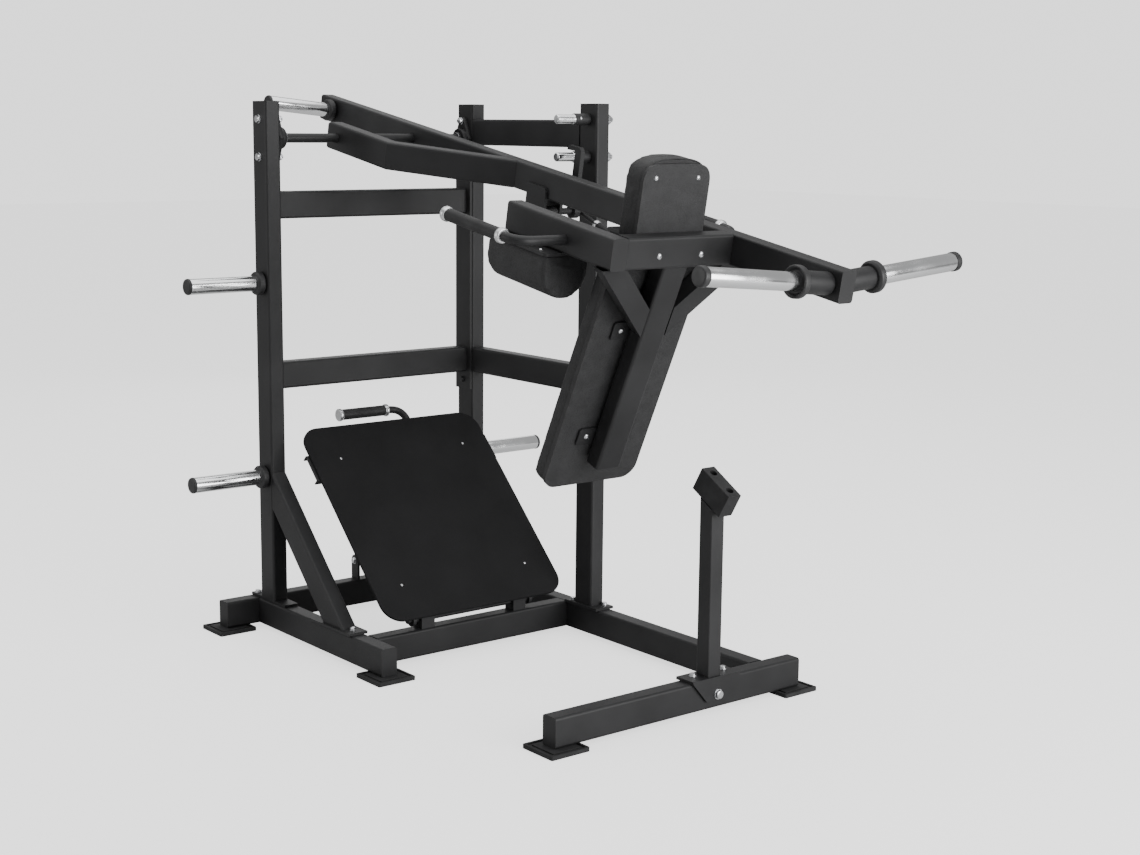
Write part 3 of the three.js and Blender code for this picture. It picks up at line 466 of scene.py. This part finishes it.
def inflated(node, axes, centre, shrink, voxel, cap):
    """A CAD pad drawn in by `shrink` mm, remeshed, rounded, swollen as cloth and pressed flat again
    where it lies on its board. `axes` are its length, width and outward depth directions."""
    mesh = NODES[node].data.copy()
    shell = bmesh.new()
    shell.from_mesh(mesh)
    bmesh.ops.remove_doubles(shell, verts=shell.verts, dist=1e-5)
    shell.to_mesh(mesh)
    shell.free()
    full = (points_of(mesh) - centre) @ axes.T
    half = np.abs(full).max(0)
    scale = (half - np.asarray(shrink) / 1000) / half
    mesh.vertices.foreach_set("co", (centre + (full * scale) @ axes).ravel())
    mesh = worked(mesh, "REMESH", mode="VOXEL", voxel_size=voxel / 1000)
    mesh = worked(mesh, "SMOOTH", factor=0.5, iterations=3)
    rest = points_of(mesh)
    mesh = worked(mesh, "CLOTH", frames=CLOTH_FRAMES)
    move = points_of(mesh) - rest
    length = np.linalg.norm(move, axis=1)[:, None]
    swollen = rest + move * np.minimum(1, cap / 1000 / np.maximum(length, 1e-9))
    mesh.vertices.foreach_set("co", swollen.ravel())
    mesh = worked(mesh, "SMOOTH", factor=0.5, iterations=5)
    swollen = points_of(mesh)
    local = (swollen - centre) @ axes.T
    back = full[:, 2].min() + SEAT_LIFT
    local[:, 2] = np.maximum(local[:, 2], back)
    local = np.clip(local, -half - PROUD, half + PROUD)
    base = (rest - centre) @ axes.T
    seated = base[:, 2] < base[:, 2].min() + SEAT_DEPTH
    local[seated, 2] = back
    mesh.vertices.foreach_set("co", (centre + local @ axes).ravel())
    mesh = worked(mesh, "SUBSURF", levels=1, render_levels=1)
    return mesh, half * 1000


def grooved(mesh, distance, depth, width):
    """Sinks a seam: each point moves inwards by depth * exp(-(distance / width)^2), all in mm."""
    sink = depth / 1000 * np.exp(-(distance / width) ** 2)
    mesh.vertices.foreach_set("co", (points_of(mesh) - normals_of(mesh) * sink[:, None]).ravel())
    mesh.update()


def box_distance(local, half, corner):
    """Signed mm from a rounded rectangle: |max(q, 0)| + min(max(q), 0) - corner, with
    q = |p| - half + corner."""
    q = np.abs(local) - np.asarray(half) + corner
    return np.linalg.norm(np.maximum(q, 0), axis=1) + np.minimum(q.max(1), 0) - corner


def rounded_loop(half, corner, step=4.0):
    """Points round a rectangle of half sizes `half` with corners of radius `corner`, evenly spaced."""
    a, b = half
    turn = np.linspace(0, np.pi / 2, 16)
    loop = []
    for k, (cx, cy) in enumerate([(a - corner, -b + corner), (a - corner, b - corner),
                                  (-a + corner, b - corner), (-a + corner, -b + corner)]):
        angle = turn - np.pi / 2 + k * np.pi / 2
        loop.append(np.stack([cx + corner * np.cos(angle), cy + corner * np.sin(angle)], 1))
    loop = np.concatenate(loop + [loop[0][:1]])
    run = np.concatenate([[0], np.cumsum(np.linalg.norm(np.diff(loop, axis=0), axis=1))])
    at = np.linspace(0, run[-1], max(8, int(run[-1] / step)), endpoint=False)
    return np.stack([np.interp(at, run, loop[:, i]) for i in (0, 1)], 1)


def closed_tube(path, radius, normal, sides=10):
    """A ring of tube along a closed path: circles in the plane of `normal` and the path's side."""
    ahead = np.roll(path, -1, 0) - np.roll(path, 1, 0)
    ahead /= np.linalg.norm(ahead, axis=1)[:, None]
    up = np.broadcast_to(normal, path.shape)
    side = np.cross(up, ahead)
    angle = np.linspace(0, 2 * np.pi, sides, endpoint=False)
    spoke = np.cos(angle)[None, :, None] * side[:, None] + np.sin(angle)[None, :, None] * up[:, None]
    points, quads = wrapped_grid(path[:, None] + radius / 1000 * spoke)
    last = np.arange(sides) + (len(path) - 1) * sides
    first = np.arange(sides)
    close = np.stack([last, np.roll(last, -1), np.roll(first, -1), first], -1)
    return points, np.concatenate([quads, close])


def arch_drop(local, half, arch):
    """How far an arched top edge lies under its crown: arch * (y / half)^2, fading to 0 at the bottom."""
    share = np.clip((local[:, 0] + half[0]) / (2 * half[0]), 0, 1)
    return arch * (local[:, 1] / half[1]) ** 2 * share


FLAT_PAD_SHRINK = (1.5, 1.5, 2.5)
FLAT_PAD_CAP = 4.0
PIPING_INSET = 2.0
SEAM_INSET = 11.0


def flat_pad(name, node, point, corner, arch=0.0):
    """A flat cushion on a board: crowned front, a seam sunk round its front edge, and piping along
    its back edge, where it meets the board."""
    axes = np.array([point.up, point.across, -point.along])
    low, high = node_box_in(node, axes)
    centre = ((low + high) / 2) @ axes
    mesh, half = inflated(node, axes, centre, FLAT_PAD_SHRINK, 6.0, FLAT_PAD_CAP)
    local = (points_of(mesh) - centre) @ axes.T * 1000
    flatter = np.stack([local[:, 0] + arch_drop(local, half, arch), local[:, 1]], 1)
    edge = box_distance(flatter, half[:2] - SEAM_INSET, corner - SEAM_INSET)
    front = local[:, 2] > half[2] * 0.35
    grooved(mesh, np.where(front, edge, 99.0), 2.0, 2.2)
    cushion = finish_piece(name, mesh, VINYL, "swing_arm", 60)
    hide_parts(node)
    loop = rounded_loop(half[:2] - PIPING_INSET, corner - PIPING_INSET)
    loop[:, 0] -= arch_drop(loop, half, arch)
    sewn = (points_of(mesh) - centre) @ axes.T * 1000
    loop = hugging(loop, sewn[np.abs(sewn[:, 2] + half[2] - 5.0) < 2.5][:, :2])
    path = centre + (loop[:, :1] * axes[0] + loop[:, 1:] * axes[1] + (2.5 - half[2]) * axes[2]) / 1000
    build(name + "_piping", *closed_tube(path, 2.4, axes[2]), PIPING, "swing_arm", "upholstery", 80)


def hugging(loop, skin, passes=8):
    """Pulls each loop point to the nearest skin point, then evens the loop: p = (a + 2p + b) / 4."""
    gaps = np.linalg.norm(loop[:, None] - skin[None], axis=2)
    loop = skin[gaps.argmin(1)]
    for _ in range(passes):
        loop = (np.roll(loop, 1, 0) + 2 * loop + np.roll(loop, -1, 0)) / 4
    return loop


def node_box_in(node, axes):
    """Lowest and highest coordinates of a CAD node along three directions."""
    local = points_of(NODES[node].data) @ axes.T
    return local.min(0), local.max(0)


def shoulder_pad(side):
    """A half-round roll under its plate: flat on top, domed ends, a sunk seam near each end."""
    node = f"{side}_shoulder_cushion"
    axes = np.array([arm.along, arm.across, -arm.up])
    low, high = node_box_in(node, axes)
    centre = ((low + high) / 2) @ axes
    mesh, half = inflated(node, axes, centre, (1.0, 1.5, 1.0), 5.0, 3.5)
    local = (points_of(mesh) - centre) @ axes.T * 1000
    grooved(mesh, np.abs(np.abs(local[:, 0]) - (half[0] - 8)), 1.6, 2.4)
    cushion = finish_piece(f"{side}_shoulder_pad", mesh, VINYL, "swing_arm", 60)
    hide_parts(node)


flat_pad("back_pad", "back_pad_cushion", hanger, 45.0)
flat_pad("headrest_pad", "headrest_cushion", arm, 50.0, arch=14.4)
shoulder_pad("left")
shoulder_pad("right")


# ------------------------------------------------------------------ weight horns
def storage_horn(name, node, start, along, body, length=262.0):
    """Cast collar, chromed sleeve and domed end cap on one axis, each turned on its own."""
    collar = turned([(0, 0.4), (31, 0.4), (36.8, 6), (36.8, 22), (32, 27.6), (25.2, 27.6), (0, 27.6)],
                    start, along, 2.0)
    sleeve = turned([(0, 27), (24.4, 27), (24.4, length - 11), (0, length - 11)], start, along, 0.8, 64)
    cap = turned([(0, length - 11.5), (25.2, length - 11.5), (25.2, length - 5), (22.5, length - 0.6),
                  (0, length)], start, along, 2.5)
    first = build(name + "_collar", *collar, CAP, body, "black_coat")
    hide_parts(node)
    build(name + "_sleeve", *sleeve, CHROME, body, "chrome")
    build(name + "_cap", *cap, CAP, body, "rubber")


def load_horn(name, node, start, along, body, length=448.0):
    """Powder-coated stub, cupped stop ring, chromed sleeve and an end cap."""
    stub = turned([(0, 0.4), (30, 0.4), (30, 98), (0, 98)], start, along, 0.6)
    ring = turned([(0, 97), (36, 97), (42.6, 103), (42.6, 117), (39.5, 121.6), (35, 119), (30, 112),
                   (0, 112)], start, along, 2.0)
    sleeve = turned([(0, 110), (24.4, 110), (24.4, length - 20), (0, length - 20)], start, along, 0.8, 64)
    cap = turned([(0, length - 21), (25.6, length - 21), (26.4, length - 18), (26.4, length - 5),
                  (23.5, length - 1), (0, length - 0.4)], start, along, 2.5)
    first = build(name + "_stub", *stub, POWDER, body, "black_coat")
    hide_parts(node)
    build(name + "_stop_ring", *ring, CAP, body, "black_coat")
    build(name + "_sleeve", *sleeve, CHROME, body, "chrome")
    build(name + "_cap", *cap, CAP, body, "rubber")


def risen(side, degrees):
    """Direction out of the arm's side, lifted by an angle."""
    angle = math.radians(degrees)
    return side * math.cos(angle) * arm.across + math.sin(angle) * arm.up


for label, height in STORAGE_HEIGHT.items():
    storage_horn(f"{label}_storage_horn_left", f"{label}_storage_horn",
                 mm(POST_X, LEFT_Y - HALF_POST, height), -Y, "frame")
storage_horn("storage_horn_right", "right_storage_horn",
             mm(POST_X, RIGHT_Y + HALF_POST, STORAGE_HEIGHT["lower"]), Y, "frame")
storage_horn("counterweight_horn", "rear_weight_horn",
             arm(-505, ARM_Y - HORN_SEAT, 0), risen(-1, 5.5), "swing_arm")
load_horn("load_horn_left", "left_load_horn",
          arm(1899, ARM_Y - HORN_SEAT, 0), risen(-1, 5), "swing_arm")
load_horn("load_horn_right", "right_load_horn",
          arm(1899, ARM_Y + HORN_SEAT, 0), risen(1, 5), "swing_arm", 434.0)


# ------------------------------------------------------------------ handles
def grip_on(name, start, along, body, radius, length, collar):
    """A ribbed rubber sleeve between two bright collars; ribs are 0.22 mm ripples 4 mm apart."""
    ends = collar - 2.0
    distance = np.linspace(ends, length - ends, 180)
    radii = radius + 0.22 * np.sin(2 * np.pi * distance / 4.0)
    profile = np.concatenate([[[0, ends]], np.stack([radii, distance], 1), [[0, length - ends]]])
    rings = rings_about(np.outer(profile[:, 0], np.ones(40)), profile[:, 1], start, along)
    build(name + "_rubber", *rings, GRIP, body, "rubber_grip", 40)
    rim = radius + 3.4
    sleeve = radius + 0.8
    lip = [(0, 0), (radius + 1.0, 0), (rim, 2.5), (rim, collar - 5), (sleeve, collar - 1),
           (sleeve, collar), (0, collar)]
    near = turned(lip, start, along, 1.6, 40)
    far = turned(lip, start + length / 1000 * along, -along, 1.6, 40)
    build(name + "_collars", *joined([near, far]), ALUMINIUM, body, "rubber_grip")


HANDLE_V = -5.0


def arm_handle(side, y, sign):
    """Bent steel tube from the beam's side, turned towards the pivot, with its grip on the free run."""
    face = y + sign * 26.3
    out = y + sign * 178.0
    path = bent_path([arm(1352, face, HANDLE_V), arm(1352, out, HANDLE_V), arm(1030, out, HANDLE_V)], 55)
    bar = build(f"{side}_handle_tube", *swept(path, 13.5, arm.up), POWDER, "swing_arm", "black_coat", 50)
    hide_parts(f"{side}_handle")
    grip_on(f"{side}_handle_grip", arm(1026, out, HANDLE_V), arm.along, "swing_arm", 17.5, 266.0, 18.0)


def plate_handle():
    """Bent tube over the foot plate's top edge, turned to the left, with its grip on the free run."""
    y = MIDDLE_Y + 92
    corners = [plate(-614.3, y, PLATE_BAR_V), plate(-768, y, PLATE_BAR_V), plate(-768, 268, PLATE_BAR_V)]
    tube = swept(bent_path(corners, 50), 12.0, plate.up)
    bar = build("foot_plate_handle_tube", *tube, POWDER, "foot_plate", "black_coat", 50)
    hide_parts("foot_plate_handle")
    grip_on("foot_plate_handle_grip", plate(-768, 264, PLATE_BAR_V), Y, "foot_plate", 17.4, 190.0, 14.0)


arm_handle("left", LEFT_BEAM_Y, -1)
arm_handle("right", ARM_Y, 1)
plate_handle()


# ------------------------------------------------------------------ bearings, shaft, pins
# A flange's boss and ear radii, the reach of its ears, the rise of its bolts and its face, in mm.
BOSS = 38.0
EAR = 15.0
EAR_REACH = 56.0
BOLT_RISE = 58.0
FLANGE_FACE = 41.3


def flange_outline(up_in_plane, sides=96):
    """Edge of a two-bolt flange, as a radius at each angle: the tangent lines from a round boss to an
    ear above and below it, R / (sqrt(1 - k^2) |s| + k |c|) with k = (R - r) / reach, kept inside the
    ears' own circles, |c| reach + sqrt(r^2 - (s reach)^2), where c and s are taken from upright."""
    angle = np.linspace(0, 2 * np.pi, sides, endpoint=False)
    direction = np.stack([np.cos(angle), np.sin(angle)], 1)
    rise = np.abs(direction @ up_in_plane)
    slant = np.abs(direction @ np.array([-up_in_plane[1], up_in_plane[0]]))
    k = (BOSS - EAR) / EAR_REACH
    hull = BOSS / (np.sqrt(1 - k ** 2) * slant + k * rise)
    ear = EAR_REACH * rise + np.sqrt(np.maximum(EAR ** 2 - (EAR_REACH * slant) ** 2, 0))
    outline = np.where(EAR_REACH * slant < EAR * 0.93, np.minimum(hull, ear), hull)
    return np.minimum(outline, EAR_REACH + EAR)


def flange_bearing(name, node, y, sign):
    """Cast two-bolt bearing: the flange with turned edges, its stepped boss and the bright inner ring."""
    start = mm(POST_X, y + sign * 0.3, PIVOT_Z)
    along = sign * Y
    side, up, _ = square_axes(along)
    outline = flange_outline(np.array([side @ Z, up @ Z]))
    flat = np.ones_like(outline)
    flange = [16 * flat, outline - 0.5, outline, outline - 1.5, outline - 3.5]
    boss = [radius * flat for radius in (34.5, 34.0, 32.0, 27.5, 26.5, 22, 21, 16, 16)]
    distances = [0, 0, 1.2, 12.5, 14.6, 15.2, 25, 29.0, 30.0, 27.5, 27.5, 37.2, 37.8, 0]
    rings = rings_about(np.stack(flange + boss), distances, start, along)
    body = build(name, *rings, CASTING, "frame", "cast_black", 40)
    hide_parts(node)
    ring = turned([(15.9, 28), (20.5, 28), (20.5, 38.2), (15.9, 38.2), (15.9, 28)], start, along, 0.4)
    build(name + "_inner_ring", *ring, BRIGHT_STEEL, "frame", "cast_black")


flange_bearing("left_bearing", "left_flange_bearing", LEFT_Y + HALF_POST, 1)
flange_bearing("right_bearing", "right_flange_bearing", RIGHT_Y - HALF_POST, -1)


def pivot_bar():
    """The plain round bar that the arm turns on, from bearing to bearing."""
    profile = [(0, 56.8), (14.8, 56.8), (14.8, 780.2), (0, 780.2)]
    bar = turned(profile, mm(POST_X, 0, PIVOT_Z), Y, 1.0, 48)
    shaft = build("pivot_bar", *bar, POWDER, "swing_arm", "black_coat")
    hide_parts("pivot_shaft")


pivot_bar()


def catch_pin(name, node, height):
    """Black socket with a set screw, a bright shoulder and the chromed pin, and the spacer on the
    far side of the post that its nut draws up against."""
    start = mm(PIN_X, RIGHT_Y - HALF_POST, height)
    socket = turned([(0, 0.3), (18, 0.3), (18, 54), (16.5, 57.8), (0, 57.8)], start, -Y, 2.0, 40)
    profile = [(0, 57), (15.2, 57), (15.2, 61), (13.9, 62.5), (13.9, 122), (11.5, 125.3), (0, 125.3)]
    pin = turned(profile, start, -Y, 1.0, 40)
    first = build(name + "_socket", *socket, CAP, "frame", "black_coat")
    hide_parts(node)
    build(name + "_bar", *pin, CHROME, "frame", "chrome")
    toward = (X + 0.2 * Z) / np.linalg.norm(X + 0.2 * Z)
    screw = dome_screw(start + toward * 0.0178 - Y * 0.04, toward, 4.2, 1.6)
    build(name + "_set_screw", *screw, ZINC, "frame", "chrome")
    profile = [(0, -0.3), (18, -0.3), (18, 14), (15, 16.2), (0, 16.2)]
    spacer = turned(profile, mm(PIN_X, RIGHT_Y + HALF_POST, height), Y, 2.0, 40)
    build(name + "_spacer", *spacer, CAP, "frame", "black_coat")


for label, height in PIN_HEIGHT.items():
    catch_pin(f"{label}_pin", f"{label}_catch_pin", height)


# ------------------------------------------------------------------ fasteners
def fasteners(name, body, parts):
    """Zinc-plated hardware of one body, as one piece."""
    build(name, *joined(parts), ZINC, body, "chrome", 30)


# Bolts through the base as (x, y), the clevis bolt as (x, z), and the pad bracket rows down the hanger.
RAIL_BOLTS = ((22, 16), (22, 39), (22, 798), (22, 821), (190, 798), (190, 821), (816, 829), (706, 790),
              (586, 27.5))
STOP_POST_BOLTS = ((1541, 546), (1541, 662))
CLEVIS = (27.5, 160.0)
PAD_BRACKET_ROWS = (-210, -545)


def frame_fasteners():
    """Bearing bolts and nuts, catch pin nuts, base bolts, the saddle bolt and the clevis bolt."""
    left = LEFT_Y - HALF_POST
    right = RIGHT_Y + HALF_POST
    parts = []
    for z in (PIVOT_Z + BOLT_RISE, PIVOT_Z - BOLT_RISE):
        parts += [hex_bolt(mm(POST_X, left, z), -Y, 22, 9),
                  hex_bolt(mm(POST_X, right, z), Y, 22, 9),
                  nut_with_stud(mm(POST_X, LEFT_Y + FLANGE_FACE, z), Y, 19, 9, 5),
                  nut_with_stud(mm(POST_X, RIGHT_Y - FLANGE_FACE, z), -Y, 19, 9, 5)]
    for z in PIN_HEIGHT.values():
        parts.append(nut_with_stud(mm(PIN_X, right + 16, z), Y, 27, 16, 10))
    parts.append(nut_with_stud(mm(POST_X, right, 760), Y, 17, 8, 4))
    for x, y in RAIL_BOLTS + STOP_POST_BOLTS:
        parts.append(hex_bolt(mm(x, y, BASE_BOLT_Z), Z, 17, 8))
    parts.append(hex_bolt(mm(1586.3, 603, 54), X, 24, 9))
    parts.append(hex_bolt(mm(CLEVIS[0], MIDDLE_Y - 35, CLEVIS[1]), -Y, 19, 7))
    parts.append(nut_with_stud(mm(CLEVIS[0], MIDDLE_Y + 35, CLEVIS[1]), Y, 19, 8, 4))
    fasteners("frame_bolts", "frame", parts)
    bolt = hex_bolt(mm(POST_X, 775.2, 760), -Y, 17, 7)
    build("crossbar_plate_bolt", *bolt, CAP, "frame", "black_coat", 30)


def arm_fasteners():
    """Button heads through the cross beam, the headrest, the pad brackets and the shoulder plates."""
    parts = [dome_screw(arm(1546, HANGER_Y + dy, -8), arm.along, 8.5) for dy in (-73, 73)]
    parts += [dome_screw(arm(1493.7, HANGER_Y + dy, 184), arm.along, 7.5) for dy in (-73, 73)]
    for row in PAD_BRACKET_ROWS:
        parts += [dome_screw(hanger(-26, dy, row), hanger.along, 8.0) for dy in (-69, 69)]
    for y in (LEFT_BEAM_Y, ARM_Y):
        for u in (1130, 1300):
            parts += [dome_screw(arm(u, y + dy, -42.8), arm.up, 6.0, 4.0) for dy in (-57, 57)]
    fasteners("arm_bolts", "swing_arm", parts)


def plate_fasteners():
    """Four flush screws through the foot plate into its rails."""
    parts = [dome_screw(plate(22.9 - up, y, 50.6), plate.up, 4.2, 1.6)
             for up in (121, 607) for y in (184, 657)]
    fasteners("foot_plate_screws", "foot_plate", parts)


frame_fasteners()
arm_fasteners()
plate_fasteners()


# ------------------------------------------------------------------ release lever
def joint_value(name, key):
    """One of a joint's vectors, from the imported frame."""
    return np.array(next(joint[key] for joint in frame["joints"] if joint["name"] == name))


def release_lever():
    """Hub, straight rod, bright collar and rubber grip of the hand lever on the catch shaft."""
    angle = math.radians(24)
    along = np.array([math.cos(angle), 0, -math.sin(angle)])
    start = joint_value("catch_release", "pos_m")
    start[1] = ORIGIN[1] + 0.7153
    hub = turned([(10.4, -11), (18, -11), (18, 11), (10.4, 11), (10.4, -11)], start, Y, 1.2)
    root = start + 0.014 * along
    rod = turned([(0, 0), (7, 0), (7, 78), (0, 78)], root, along, 0.5, 32)
    first = build("release_lever_rod", *joined([hub, rod]), POWDER, "catch", "black_coat")
    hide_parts("release_lever")
    collar = turned([(0, 74), (12, 74), (13.8, 76.5), (13.8, 86), (12, 88.5), (0, 88.5)],
                    root, along, 1.2, 40)
    build("release_lever_collar", *collar, ALUMINIUM, "catch", "rubber_grip")
    grip = turned([(0, 88), (12.4, 88), (12.4, 192), (10, 199), (0, 200)], root, along, 2.5, 40)
    build("release_lever_grip", *grip, GRIP, "catch", "rubber_grip")


release_lever()


# ------------------------------------------------------------------ prop
def prop_end_ring():
    """The guide ring on the upper end of the prop's outer tube."""
    bore = 14.3
    profile = [(bore, 282), (21.5, 282), (22.5, 285), (22.5, 298), (21, 300.5), (bore, 300.5), (bore, 282)]
    ring = turned(profile, joint_value("prop_tilt", "pos_m"), joint_value("prop_extend", "axis"), 1.0, 40)
    build("prop_end_ring", *ring, CAP, "prop_tube", "black_coat")


prop_end_ring()


# ------------------------------------------------------------------ floor, light, camera
FLOOR_LIFT = 1.4
SKY_SEEN = 1.75
SKY_LIGHT = 0.45


def softbox(name, place, target, size, power):
    """A rectangular area light of `power` watts at `place`, turned to face `target`."""
    data = bpy.data.lights.new(name, "AREA")
    data.shape = "RECTANGLE"
    data.size, data.size_y = size
    data.energy = power
    light = bpy.data.objects.new(name, data)
    light.location = place
    light.rotation_euler = (Vector(target) - Vector(place)).to_track_quat("-Z", "Y").to_euler()
    bpy.context.scene.collection.objects.link(light)


def studio():
    """A wide pale floor, an even sky and four soft boxes. The floor and the sky are lifted only where
    they are seen directly, so that they look pale without flooding the machine with light."""
    floor = bpy.data.meshes.new("floor")
    reach = 30.0
    corners = [(-reach, -reach, 0), (reach, -reach, 0), (reach, reach, 0), (-reach, reach, 0)]
    floor.from_pydata(corners, [], [(0, 1, 2, 3)])
    ground = bpy.data.objects.new("floor", floor)
    bpy.context.scene.collection.objects.link(ground)
    material, tree, shader, _ = blank("pale studio floor", "#c8c8c8", 0.9, Specular_IOR_Level=0.2)
    sight = add(tree, "ShaderNodeLightPath")
    shader.inputs["Emission Color"].default_value = (1, 1, 1, 1)
    lift = add(tree, "ShaderNodeMath", {"operation": "MULTIPLY", 1: FLOOR_LIFT},
               {0: sight.outputs["Is Camera Ray"]})
    tree.links.new(lift.outputs[0], shader.inputs["Emission Strength"])
    floor.materials.append(material)

    world = bpy.data.worlds.new("studio")
    bpy.context.scene.world = world
    world.use_nodes = True
    tree = world.node_tree
    tree.nodes.clear()
    seen = add(tree, "ShaderNodeBackground", {"Color": (1, 1, 1, 1), "Strength": SKY_SEEN})
    glow = add(tree, "ShaderNodeBackground", {"Color": (1, 1, 1, 1), "Strength": SKY_LIGHT})
    ray = add(tree, "ShaderNodeLightPath")
    mix = add(tree, "ShaderNodeMixShader", {},
              {0: ray.outputs["Is Camera Ray"], 1: glow.outputs[0], 2: seen.outputs[0]})
    add(tree, "ShaderNodeOutputWorld", {}, {"Surface": mix.outputs[0]})

    softbox("key softbox", (5.2, 1.2, 1.6), (0, 0, 0.8), (4.0, 3.2), 330)
    softbox("fill softbox", (-1.8, -3.6, 1.7), (-0.7, -0.4, 0.9), (2.0, 2.0), 32)
    softbox("overhead softbox", (0, 0, 5.0), (0, 0, 0), (6.0, 6.0), 200)
    softbox("back softbox", (-5.0, 3.0, 2.5), (0, 0, 0.9), (3.0, 3.0), 30)


def camera():
    """The viewpoint: yaw 51.74 and pitch 9.55 degrees, rolled by half a degree."""
    yaw, pitch, roll = (math.radians(v) for v in (51.74, 9.55, 0.49))
    ahead = Vector((-math.sin(yaw) * math.cos(pitch), math.cos(yaw) * math.cos(pitch), -math.sin(pitch)))
    right = ahead.cross(Vector((0, 0, 1))).normalized()
    up = right.cross(ahead)
    right, up = (right * math.cos(roll) + up * math.sin(roll), up * math.cos(roll) - right * math.sin(roll))
    turn = Matrix((right, up, -ahead)).transposed()
    data = bpy.data.cameras.new("camera")
    data.lens = 56.29
    data.sensor_width = 36.0
    data.shift_x = 0.01636
    data.shift_y = -0.002
    eye = bpy.data.objects.new("camera", data)
    eye.matrix_world = Matrix.Translation(Vector(mm(5064, -2743, 1622))) @ turn.to_4x4()
    bpy.context.scene.collection.objects.link(eye)
    bpy.context.scene.camera = eye


studio()
camera()
